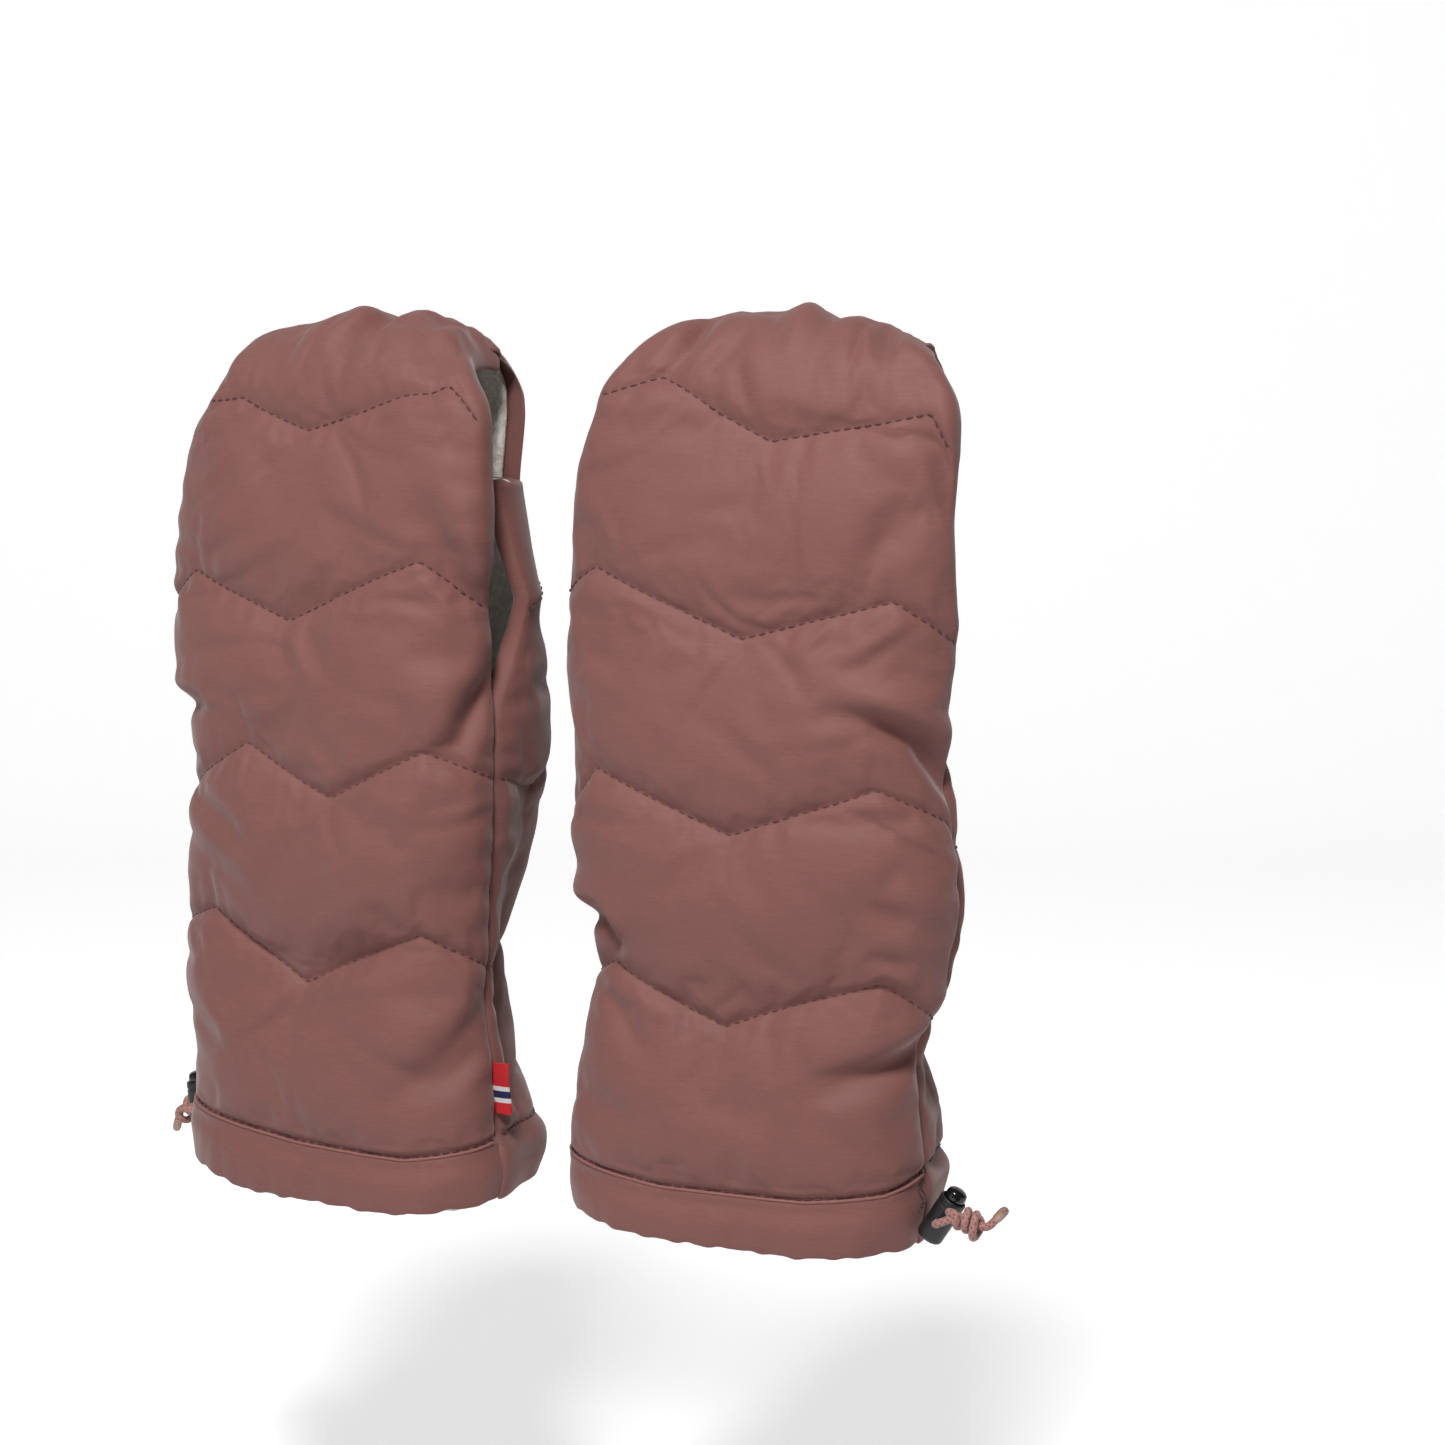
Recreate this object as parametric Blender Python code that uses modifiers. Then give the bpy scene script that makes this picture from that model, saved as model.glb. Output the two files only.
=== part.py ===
"""A pair of quilted stroller hand muffs that hang over a handlebar.

Metres, +Z up. The row's +X runs along the handlebar, -Y is the front, and the origin is the
handlebar's centre line midway between the two muffs. Each muff is modelled in a frame of its own:
the origin on the bar's centre line, +X towards its outer side. The left muff is the mirror image.
"""
import math

import bmesh
import bpy
from mathutils import Matrix, Quaternion, Vector

# Handlebar that the muffs hang on
BAR_DIAMETER = 0.035
BAR_CLEARANCE = 0.0015

# Layers of a panel, from the hand outwards, and the gap between touching pieces
SEAM_GAP = 0.0003
LINING_THICKNESS = 0.0040
WADDING_AT_STITCH = 0.0015
WADDING_FILL_SHARE = 0.91
PUFF_HEIGHT = 0.0055
PUFF_ROUNDNESS = 0.5
SHELL_THICKNESS = 0.0010
FLAP_LINING_THICKNESS = 0.0030
HINGE_SEAM = 0.0006

# Panel widths across the side seams, from the bar down to the hem
CREST_WIDTH = 0.085
BAR_WIDTH = 0.117
CHEST_WIDTH = 0.124
MIDDLE_WIDTH = 0.118
WAIST_WIDTH = 0.108
FLARE_WIDTH = 0.116
HEM_WIDTH = 0.113

# Depth of the padded front in front of the bar's centre line, at the pillows
CHEST_FRONT = 0.0390
MIDDLE_FRONT = 0.0440
WAIST_FRONT = 0.0390
HEM_FRONT = 0.0420

# Depth of the back behind the bar's centre line, at its wadding's inner face
MIDDLE_BACK = 0.0350
WAIST_BACK = 0.0285
HEM_BACK = 0.0330

# Heights below the bar's centre line
BACK_TOP_DROP = 0.0220
SLOT_DROP = 0.1050
CHEST_DROP = 0.0600
MIDDLE_DROP = 0.1250
WAIST_DROP = 0.1900
FLARE_DROP = 0.2320
HEM_DROP = 0.2700
HEM_BAND = 0.0170

# Side slot that the bar passes through
SLOT_WIDTH = 0.0150
SLOT_TAPER = 0.0500

# Crest over the bar, and the flap that closes the back
CREST_FLAT = 0.0120
CREST_TIP_RADIUS = 0.0200
CREST_TIP_ANGLE = math.radians(20)
CREST_TURN = math.radians(5)
SIDE_TURN = math.radians(90)
FLAP_BEND = 0.0260
FLAP_STRAIGHT = 0.0520
FLAP_SEAT_DROP = 0.0520
FLAP_END_ANGLE = math.radians(90)
FLAP_WIDTH = 0.077
FLAP_END_TURN = math.radians(24)

# Chevron quilting of the front and back
QUILT_PITCH = 0.0620
QUILT_FIRST_DROP = 0.0080
QUILT_LINES = 4
QUILT_AMPLITUDE = 0.0180
QUILT_HALF_PITCH = 0.0440
SIDE_FALL_SHARE = 0.65

# Hem channel, drawcord and its way out of the outer side seam
CORD_DIAMETER = 0.0026
CHANNEL_WALL = 0.0005
CHANNEL_CLEARANCE = 0.0005
CHANNEL_HEIGHT = 0.0100
CHANNEL_FOOT = 0.0015
CHANNEL_MOUTH = 0.0045
CORD_DROP = 0.2605
EXIT_HEIGHT = 0.0060
EXIT_HALF_WIDTH = 0.0026
EXIT_BEND = 0.0035
# The cord's points as shares of that bend: out from the hem's end, and back from it to the seam
EXIT_PATH_SHARES = [(0.25, 0.55), (0.85, 0.12), (1.7, 0.0)]
# And before the lock's bore: short of it, away from the seam, and of the fall between the two
LOCK_PATH_SHARES = [(1.2, 0.0, 0.75), (0.45, 0.2, 1.0), (0.08, 0.65, 1.0), (0.0, 1.1, 1.0)]

# Cord lock: it hangs in front of its seam on the right muff and behind it on the left one
LOCK_DIAMETER = 0.0088
LOCK_LENGTH = 0.0160
LOCK_BORE = 0.0073
LOCK_FLOOR = 0.0012
RIGHT_LOCK_LEAN = math.radians(30)
LEFT_LOCK_LEAN = math.radians(8)
RIGHT_LOCK_OUT = 0.0082
LEFT_LOCK_OUT = 0.0085
LOCK_CORD_HEIGHT = 0.0076
LOCK_CORD_DROP = 0.2525
LOCK_HOLE = 0.0032
LOCK_ROUNDING = 0.0009
LOCK_RIM_SHARE = 0.4
BUTTON_DIAMETER = 0.0069
BUTTON_RISE = 0.0038
BUTTON_TRAVEL = 0.0020
BUTTON_SLOT_FLOOR = 0.0010
SPRING_WIRE = 0.0004
SPRING_DIAMETER = 0.0046
SPRING_CURLS = 3

# Knot and tail of the drawcord
KNOT_WRAPS = 2
KNOT_RADIUS = 0.0029
KNOT_PITCH = 0.00285
KNOT_BEND = 0.0016
KNOT_BEND_SHARE = 0.4
KNOT_LEAD = math.radians(162)
KNOT_REAR = 0.0058
KNOT_DIP = 0.0030
KNOT_OVERHANG = 0.0020
KNOT_CORE_OVERHANG = 0.0010
KNOT_ROLL = math.radians(15)
RIGHT_KNOT_OUT = 0.0126
LEFT_KNOT_OUT = 0.0145
KNOT_AWAY = 0.0095
RIGHT_KNOT_RISE = 0.0052
LEFT_KNOT_RISE = -0.0061
STUB_PULL_SHARE = 0.4
TAIL_LENGTH = 0.0060
RIGHT_TAIL_LEAN = math.radians(40)
LEFT_TAIL_LEAN = math.radians(165)
TIP_LENGTH = 0.0040
TIP_WALL = 0.0003

# Press studs of the flap, out from its middle by a share of its half width
SNAP_SHARE = 0.63
SNAP_DROP = 0.0370
SNAP_SPACE = 0.0036
SNAP_EASE = 0.0009
STUD_FLANGE_DIAMETER = 0.0080
STUD_FLANGE_THICKNESS = 0.0006
STUD_DIAMETER = 0.0038
SOCKET_DIAMETER = 0.0090
SOCKET_THICKNESS = 0.0013
SOCKET_CLEARANCE = 0.0006

# Striped tab in the left muff's inner side seam
TAB_LENGTH = 0.0170
TAB_REACH = 0.0050
TAB_THICKNESS = 0.0010
TAB_DROP = 0.2260

# Places of the two muffs on the gently curved bar, and how each one hangs
MUFF_SPACING = 0.1550
BAR_SWEEP = 0.0035
BAR_FALL = 0.0035
RIGHT_YAW = math.radians(3.3)
LEFT_YAW = math.radians(5.9)
RIGHT_ROLL = math.radians(2.2)
LEFT_ROLL = math.radians(-1.5)

# Driven sizes
TUNNEL_RADIUS = BAR_DIAMETER / 2 + BAR_CLEARANCE
BASE_RADIUS = TUNNEL_RADIUS + LINING_THICKNESS + 2 * SEAM_GAP
FLAT_STACK = WADDING_AT_STITCH + SEAM_GAP + SHELL_THICKNESS
PUFFED_STACK = FLAT_STACK + PUFF_HEIGHT
CHANNEL_SPACE = CORD_DIAMETER + 2 * CHANNEL_CLEARANCE + 2 * CHANNEL_WALL
HEM_STANDOFF = CHANNEL_SPACE + 2 * SEAM_GAP
OVERRUN = 0.0020

# Counts of facets
CURVE_STEPS = 60
ROUND_SIDES = 16
STUD_SIDES = 12
DOME_STEPS = 4
SPRING_STEPS = 8
KNOT_STEPS = 8
KNOT_BEND_STEPS = 3
KNOT_CORE_STEPS = 3
STUB_STEPS = 8
TAIL_STEPS = 7
TAIL_TURN_STEPS = 4
FLAP_ROWS = 7
FLAP_ROW_SPREAD = 1.2
MERGE_DISTANCE = 0.00001

# Rows of the grids, up from one stitch line to the next, and their columns across
HEM_ROW_SHARES = [0.0, 0.25, 0.75]
QUILT_ROW_SHARES = [0.0, 0.14, 0.5, 0.86]
BACK_TOP_ROW_SHARES = [0.0, 0.3, 0.6]
CREST_ROW_SHARES = [0.0, 0.12, 0.32, 0.5, 0.66, 0.8, 0.92]
CROWN_SHARES = [0.5, 1.0]
SIDE_SHARES = [0.36, 0.68, 1.0]
BACK_SIDE_SHARES = [0.5, 1.0]
FLAP_COLUMN_SHARES = [-1.0, -0.8, -0.5, 0.0, 0.5, 0.8, 1.0]

parts = bpy.data.collections.new("stroller_hand_muffs")
cutters = bpy.data.collections.new("cutters")


def clear_scene():
    """Remove the objects that the file opened with and link the two collections."""
    for old in list(bpy.data.objects):
        bpy.data.objects.remove(old, do_unlink=True)
    bpy.context.scene.collection.children.link(parts)
    bpy.context.scene.collection.children.link(cutters)


def make_material(name, colour, roughness, metallic=0.0):
    """A Principled material of one colour."""
    material = bpy.data.materials.new(name)
    material.use_nodes = True
    shader = material.node_tree.nodes["Principled BSDF"]
    shader.inputs["Base Color"].default_value = (*colour, 1.0)
    shader.inputs["Roughness"].default_value = roughness
    shader.inputs["Metallic"].default_value = metallic
    return material


LOOKS = {
    "shell": ((0.26, 0.13, 0.12), 0.75, 0.0),
    "wadding": ((0.80, 0.79, 0.76), 0.95, 0.0),
    "lining": ((0.78, 0.73, 0.64), 0.95, 0.0),
    "channel": ((0.24, 0.12, 0.11), 0.85, 0.0),
    "cord": ((0.36, 0.20, 0.19), 0.70, 0.0),
    "tip": ((0.55, 0.38, 0.30), 0.15, 0.0),
    "barrel": ((0.03, 0.03, 0.03), 0.50, 0.0),
    "button": ((0.02, 0.02, 0.02), 0.18, 0.0),
    "metal": ((0.60, 0.58, 0.55), 0.30, 1.0),
    "tab": ((0.45, 0.04, 0.05), 0.80, 0.0),
}


def finish_object(obj, look, parent):
    """Give an object its material and its parent."""
    obj.data.materials.append(make_material(obj.name, *LOOKS[look]))
    obj.parent = parent


def add_object(name, data, look, parent):
    """Link new data as a named part."""
    obj = bpy.data.objects.new(name, data)
    parts.objects.link(obj)
    finish_object(obj, look, parent)
    return obj


def add_empty(name, location, rotation, parent=None):
    """An empty that places a muff or carries a joint."""
    empty = bpy.data.objects.new(name, None)
    empty.location = location
    empty.rotation_euler = rotation
    empty.empty_display_size = LOCK_DIAMETER
    empty.parent = parent
    parts.objects.link(empty)
    return empty


def smooth(share):
    """Ease from 0 to 1 with level ends."""
    share = min(max(share, 0.0), 1.0)
    return share * share * (3.0 - 2.0 * share)


def between(stations, drop):
    """Read a size at a drop below the bar from (drop, size) stations, eased between them."""
    if drop <= stations[0][0]:
        return stations[0][1]
    for (high, first), (low, second) in zip(stations, stations[1:]):
        if drop <= low:
            return first + (second - first) * smooth((drop - high) / (low - high))
    return stations[-1][1]


WIDTH_STATIONS = [
    (0.0, BAR_WIDTH),
    (CHEST_DROP, CHEST_WIDTH),
    (MIDDLE_DROP, MIDDLE_WIDTH),
    (WAIST_DROP, WAIST_WIDTH),
    (FLARE_DROP, FLARE_WIDTH),
    (HEM_DROP, HEM_WIDTH),
]
FRONT_STATIONS = [
    (0.0, BASE_RADIUS + PUFFED_STACK),
    (CHEST_DROP, CHEST_FRONT),
    (MIDDLE_DROP, MIDDLE_FRONT),
    (WAIST_DROP, WAIST_FRONT),
    (HEM_DROP - HEM_BAND, HEM_FRONT),
    (HEM_DROP, HEM_FRONT),
]

def turned_curve(turn):
    """Points (across, drop) of a curve of length 1 whose tangent turns by `turn`, mostly at its end."""
    points = [(0.0, 0.0)]
    across = 0.0
    drop = 0.0
    for step in range(CURVE_STEPS):
        angle = turn * ((step + 0.5) / CURVE_STEPS) ** 3
        across += math.cos(angle) / CURVE_STEPS
        drop += math.sin(angle) / CURVE_STEPS
        points.append((across, drop))
    return points


class Section:
    """Half of a panel's cross-section: a crown that turns to the side, then a straight side."""

    def __init__(self, half_width, turn, depth=None):
        self.turn = turn
        self.curve = turned_curve(turn)
        across, drop = self.curve[-1]
        self.crown_length = half_width / across
        self.crown_depth = self.crown_length * drop
        self.side_length = 0.0 if depth is None else max(depth - self.crown_depth, 0.0)

    def at(self, share):
        """Across, drop and tangent angle at a share of the crown, or past 1 along the side."""
        if share > 1.0:
            across, drop = self.curve[-1]
            side = (share - 1.0) * self.side_length
            return (
                across * self.crown_length + side * math.cos(self.turn),
                drop * self.crown_length + side * math.sin(self.turn),
                self.turn,
            )
        place = share * CURVE_STEPS
        step = min(int(place), CURVE_STEPS - 1)
        part = place - step
        first = self.curve[step]
        second = self.curve[step + 1]
        return (
            (first[0] + (second[0] - first[0]) * part) * self.crown_length,
            (first[1] + (second[1] - first[1]) * part) * self.crown_length,
            self.turn * share**3,
        )


def half_width(drop):
    """Half width of the wadding's inner face across the seams."""
    return between(WIDTH_STATIONS, drop) / 2 - FLAT_STACK


def front_depth(drop):
    """Distance of the wadding's inner face in front of the bar's centre line."""
    return between(FRONT_STATIONS, drop) - PUFFED_STACK


def front_section(drop):
    """Front panel's section at a drop below the bar."""
    share = smooth(drop / SLOT_DROP)
    return Section(half_width(drop), CREST_TURN + (SIDE_TURN - CREST_TURN) * share)


def front_edge(drop):
    """Y of the front panel's side edge."""
    return front_section(drop).crown_depth - front_depth(drop)


class Station:
    """A place on a panel's centre path: its point, its outward direction and its section."""

    def __init__(self, y, z, out_y, out_z, section):
        self.y = y
        self.z = z
        self.out_y = out_y
        self.out_z = out_z
        self.section = section

    def point(self, side, share, standoff):
        """Point at a share across (negative towards the other muff), off the base surface."""
        across, drop, angle = self.section.at(abs(share))
        sign = math.copysign(1.0, share)
        outward = standoff * math.cos(angle) - drop
        return Vector((
            side * sign * (across + standoff * math.sin(angle)),
            self.y + outward * self.out_y,
            self.z + outward * self.out_z,
        ))


QUARTER_ARC = BASE_RADIUS * math.pi / 2
CREST_TIP_ARC = CREST_TIP_RADIUS * CREST_TIP_ANGLE
FRONT_LENGTH = HEM_DROP + QUARTER_ARC + CREST_FLAT + CREST_TIP_ARC


def front_station(rise):
    """Station at a distance up from the hem, over the bar and down to the flap's hinge seam."""
    drop = HEM_DROP - rise
    if drop >= 0.0:
        return Station(-front_depth(drop), -drop, -1.0, 0.0, front_section(drop))
    run = -drop
    crest_share = smooth(run / (QUARTER_ARC + CREST_FLAT))
    width = BAR_WIDTH + (CREST_WIDTH - BAR_WIDTH) * crest_share
    section = Section(width / 2 - FLAT_STACK, CREST_TURN)
    if run <= QUARTER_ARC:
        angle = run / BASE_RADIUS
        out_y = -math.cos(angle)
        out_z = math.sin(angle)
        return Station(BASE_RADIUS * out_y, BASE_RADIUS * out_z, out_y, out_z, section)
    run -= QUARTER_ARC
    if run <= CREST_FLAT:
        return Station(run, BASE_RADIUS, 0.0, 1.0, section)
    angle = (run - CREST_FLAT) / CREST_TIP_RADIUS
    out_y = math.sin(angle)
    out_z = math.cos(angle)
    centre_z = BASE_RADIUS - CREST_TIP_RADIUS
    y = CREST_FLAT + CREST_TIP_RADIUS * out_y
    return Station(y, centre_z + CREST_TIP_RADIUS * out_z, out_y, out_z, section)


FLAP_LENGTH = FLAP_BEND + FLAP_STRAIGHT


def flap_station(run):
    """Station of the flap at a distance down from the hinge seam."""
    start = front_station(FRONT_LENGTH)
    y = start.y
    z = start.z
    steps = 24
    for step in range(steps):
        angle = flap_angle(run * (step + 0.5) / steps)
        y += run / steps * math.cos(angle)
        z -= run / steps * math.sin(angle)
    angle = flap_angle(run)
    turn = CREST_TURN + (FLAP_END_TURN - CREST_TURN) * smooth(run / FLAP_BEND)
    width = CREST_WIDTH + (FLAP_WIDTH - CREST_WIDTH) * smooth(run / FLAP_LENGTH)
    return Station(y, z, math.sin(angle), math.cos(angle), Section(width / 2 - FLAT_STACK, turn))


def flap_angle(run):
    """Downward angle of the flap's centre path."""
    return CREST_TIP_ANGLE + (FLAP_END_ANGLE - CREST_TIP_ANGLE) * smooth(run / FLAP_BEND)


def back_top_depth():
    """Depth of the back's base surface where the flap lies on it, with room for the press studs."""
    seat = flap_station(FLAP_BEND)
    inner = seat.y - FLAP_LINING_THICKNESS - SEAM_GAP
    return inner - SNAP_SPACE - FLAT_STACK


BACK_STATIONS = [
    (FLAP_SEAT_DROP, back_top_depth()),
    (MIDDLE_DROP, MIDDLE_BACK),
    (WAIST_DROP, WAIST_BACK),
    (HEM_DROP - HEM_BAND, HEM_BACK),
    (HEM_DROP, HEM_BACK),
]


def back_section(drop):
    """Back panel's section, whose sides run forward to the seam or to the slot."""
    slot = SLOT_WIDTH * smooth((SLOT_DROP - drop) / SLOT_TAPER)
    edge = front_edge(drop) + SEAM_GAP + slot
    return Section(half_width(drop), SIDE_TURN, between(BACK_STATIONS, drop) - edge)


def back_station(rise):
    """Station of the back panel at a distance up from the hem."""
    drop = HEM_DROP - rise
    return Station(between(BACK_STATIONS, drop), -drop, 1.0, 0.0, back_section(drop))


def spread_columns(section, side_shares):
    """Shares across at which a grid has columns, with one on each peak of the chevrons."""
    peak = QUILT_HALF_PITCH / section.crown_length
    half = [share * peak for share in CROWN_SHARES]
    half += [peak + share * (1.0 - peak) for share in side_shares]
    return [-share for share in reversed(half)] + [0.0] + half


def front_columns(section):
    """Columns of the front panel."""
    return spread_columns(section, SIDE_SHARES)


def back_columns(section):
    """Columns of the back panel, with one more at each end of its straight sides."""
    return [-2.0] + spread_columns(section, BACK_SIDE_SHARES) + [2.0]


def chevron_rise(share, peak):
    """Rise of a chevron line at a share across, 0 at the V and 1 at its peaks."""
    place = min(abs(share), 1.0)
    if place <= peak:
        return place / peak
    return 1.0 - SIDE_FALL_SHARE * (place - peak) / (1.0 - peak)


def quilt_lines(count):
    """Rises of the lowest `count` chevron lines, from the hem upwards."""
    lowest = HEM_DROP - QUILT_FIRST_DROP - (QUILT_LINES - 1) * QUILT_PITCH
    return [lowest + line * QUILT_PITCH for line in range(count)]


def quilt_rows(chevrons, end, quilt_shares, end_shares, end_puffed):
    """Rows of a panel's grid as (rise, chevron share, pillow share), from the hem to `end`.

    The pillow share runs from 0 on one stitch line to 1 on the next, and is None in the hem band.
    """
    rows = [(HEM_BAND * share, 0.0, None) for share in HEM_ROW_SHARES]
    lines = [(HEM_BAND, 0.0)] + [(rise, 1.0) for rise in chevrons] + [(end, 0.0)]
    for number, ((low, low_bend), (high, high_bend)) in enumerate(zip(lines, lines[1:])):
        last = number == len(lines) - 2
        for share in end_shares if last else quilt_shares:
            bend = low_bend + (high_bend - low_bend) * share
            pillow = share if end_puffed or not last else 0.0
            rows.append((low + (high - low) * share, bend, pillow))
    rows.append((end, 0.0, 1.0))
    return rows


def puff(pillow, share, edge):
    """Height of a pillow between two stitch lines, drawn in at the side seam."""
    if not 0.0 < pillow < 1.0:
        return 0.0
    across = 1.0 - min(abs(share) / edge, 1.0) ** 4
    return PUFF_HEIGHT * math.sin(math.pi * pillow) ** PUFF_ROUNDNESS * across


def panel_grid(side, rows, station_at, columns_at, layer, edge=1.0):
    """Grid of points of one layer, and the puff at each point, row by row."""
    grid = []
    puffs = []
    for rise, bend, pillow in rows:
        reference = station_at(rise)
        peak = QUILT_HALF_PITCH / reference.section.crown_length
        line = []
        heights = []
        for share in columns_at(reference.section):
            shift = QUILT_AMPLITUDE * bend * chevron_rise(share, peak)
            station = station_at(rise + shift)
            height = None if pillow is None else puff(pillow, share, edge)
            line.append(station.point(side, share, layer(height)))
            heights.append(height)
        grid.append(line)
        puffs.append(heights)
    return grid, puffs


def grid_mesh(name, grid, outward):
    """Open surface through a grid of points, wound so that its normals follow `outward`."""
    mesh_edit = bmesh.new()
    vertices = [[mesh_edit.verts.new(point) for point in line] for line in grid]
    for low, high in zip(vertices, vertices[1:]):
        for a, b, c, d in zip(low, low[1:], high[1:], high):
            mesh_edit.faces.new((a, b, c, d))
    mesh_edit.faces.ensure_lookup_table()
    mesh_edit.normal_update()
    columns = len(grid[0]) - 1
    middle = mesh_edit.faces[:][len(grid) // 2 * columns + columns // 2]
    if middle.normal.dot(outward(middle.calc_center_median())) < 0.0:
        bmesh.ops.reverse_faces(mesh_edit, faces=mesh_edit.faces[:])
    mesh = bpy.data.meshes.new(name)
    mesh_edit.to_mesh(mesh)
    mesh_edit.free()
    mesh.shade_smooth()
    return mesh


def from_axis(point):
    """Direction from the muff's middle to a point."""
    return Vector((0.0, point.y, max(point.z, 0.0)))


def add_solidify(obj, thickness):
    """Thicken an open surface along its normals."""
    solidify = obj.modifiers.new("Thickness", "SOLIDIFY")
    solidify.thickness = thickness
    solidify.offset = 1.0
    solidify.use_even_offset = True
    return solidify


def add_sheet(name, grid, thickness, look, parent, outward=from_axis):
    """A cloth layer: an open grid thickened outwards."""
    obj = add_object(name, grid_mesh(name, grid, outward), look, parent)
    add_solidify(obj, thickness)
    return obj


def add_wadding(name, grid, puffs, parent):
    """Wadding, thin on the stitch lines and thick in the pillows."""
    thickest = WADDING_AT_STITCH + PUFF_HEIGHT
    obj = add_object(name, grid_mesh(name, grid, from_axis), "wadding", parent)
    group = obj.vertex_groups.new(name="fill")
    heights = [height for line in puffs for height in line]
    for index, height in enumerate(heights):
        group.add([index], (WADDING_AT_STITCH + WADDING_FILL_SHARE * height) / thickest, "REPLACE")
    solidify = add_solidify(obj, thickest)
    solidify.vertex_group = group.name
    return obj


def shell_layer(height):
    """Standoff of the shell's inner face from the base surface."""
    return HEM_STANDOFF if height is None else WADDING_AT_STITCH + height + SEAM_GAP


def base_layer(height):
    """The wadding's inner face lies on the base surface."""
    return 0.0


def lining_layer(height):
    """Standoff of the lining's inner face."""
    return -2 * SEAM_GAP - LINING_THICKNESS


def add_cutter(name, size, location, rotation, parent):
    """A box that cuts a hole."""
    bpy.ops.mesh.primitive_cube_add(size=1.0)
    box = bpy.context.active_object
    box.name = name
    box.data.transform(Matrix.Diagonal((*size, 1.0)))
    return place_cutter(box, location, rotation, parent)


def add_round_cutter(name, diameter, length, location, rotation, parent):
    """A cylinder that cuts a hole."""
    bpy.ops.mesh.primitive_cylinder_add(vertices=ROUND_SIDES, radius=diameter / 2, depth=length)
    rod = bpy.context.active_object
    rod.name = name
    rod.data.transform(Matrix.Rotation(math.pi / ROUND_SIDES, 4, "Z"))
    return place_cutter(rod, location, rotation, parent)


def place_cutter(obj, location, rotation, parent):
    """Move a cutter to its collection and its place."""
    for collection in list(obj.users_collection):
        collection.objects.unlink(obj)
    cutters.objects.link(obj)
    obj.parent = parent
    obj.location = location
    obj.rotation_euler = rotation
    obj.hide_render = True
    obj.display_type = "WIRE"
    return obj


def cut(obj, cutter):
    """Cut a piece with a cutter."""
    boolean = obj.modifiers.new("Cut", "BOOLEAN")
    boolean.operation = "DIFFERENCE"
    boolean.object = cutter


def add_tube(name, points, diameter, look, parent, resolution=2):
    """A cord or wire along a list of points."""
    curve = bpy.data.curves.new(name, "CURVE")
    curve.dimensions = "3D"
    curve.bevel_depth = diameter / 2
    curve.bevel_resolution = resolution
    curve.use_fill_caps = True
    spline = curve.splines.new("POLY")
    spline.points.add(len(points) - 1)
    for knot, point in zip(spline.points, points):
        knot.co = (*point, 1.0)
    return add_object(name, curve, look, parent)


def add_turned(name, profile, look, parent, sides=ROUND_SIDES):
    """A turned piece from an outline of (radius, height), which runs from its top to its bottom."""
    mesh = bpy.data.meshes.new(name)
    start = math.pi / sides
    vertices = [(radius * math.cos(start), radius * math.sin(start), height) for radius, height in profile]
    edges = [(index, index + 1) for index in range(len(profile) - 1)]
    mesh.from_pydata(vertices, edges, [])
    obj = add_object(name, mesh, look, parent)
    screw = obj.modifiers.new("Turn", "SCREW")
    screw.steps = sides
    screw.render_steps = sides
    screw.use_merge_vertices = True
    screw.merge_threshold = MERGE_DISTANCE
    return obj


def panels(name, side, muff):
    """Front and back panels: shell, wadding and lining of each."""
    front_lines = quilt_lines(QUILT_LINES)
    front_rows = quilt_rows(front_lines, FRONT_LENGTH, QUILT_ROW_SHARES, CREST_ROW_SHARES, True)
    inner_rows = [row for row in front_rows if row[2] is not None]
    grid, _ = panel_grid(side, front_rows, front_station, front_columns, shell_layer)
    front = add_sheet(name + "_front_shell", grid, SHELL_THICKNESS, "shell", muff)
    grid, puffs = panel_grid(side, inner_rows, front_station, front_columns, base_layer)
    add_wadding(name + "_front_wadding", grid, puffs, muff)
    grid, _ = panel_grid(side, front_rows, front_station, front_columns, lining_layer)
    add_sheet(name + "_front_lining", grid, LINING_THICKNESS, "lining", muff)

    back_lines = quilt_lines(QUILT_LINES - 1)
    back_end = HEM_DROP - BACK_TOP_DROP
    back_rows = quilt_rows(back_lines, back_end, QUILT_ROW_SHARES, BACK_TOP_ROW_SHARES, False)
    inner_rows = [row for row in back_rows if row[2] is not None]
    grid, _ = panel_grid(side, back_rows, back_station, back_columns, shell_layer)
    back = add_sheet(name + "_back_shell", grid, SHELL_THICKNESS, "shell", muff)
    grid, puffs = panel_grid(side, inner_rows, back_station, back_columns, base_layer)
    add_wadding(name + "_back_wadding", grid, puffs, muff)
    grid, _ = panel_grid(side, back_rows, back_station, back_columns, lining_layer)
    add_sheet(name + "_back_lining", grid, LINING_THICKNESS, "lining", muff)
    return front, back


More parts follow.
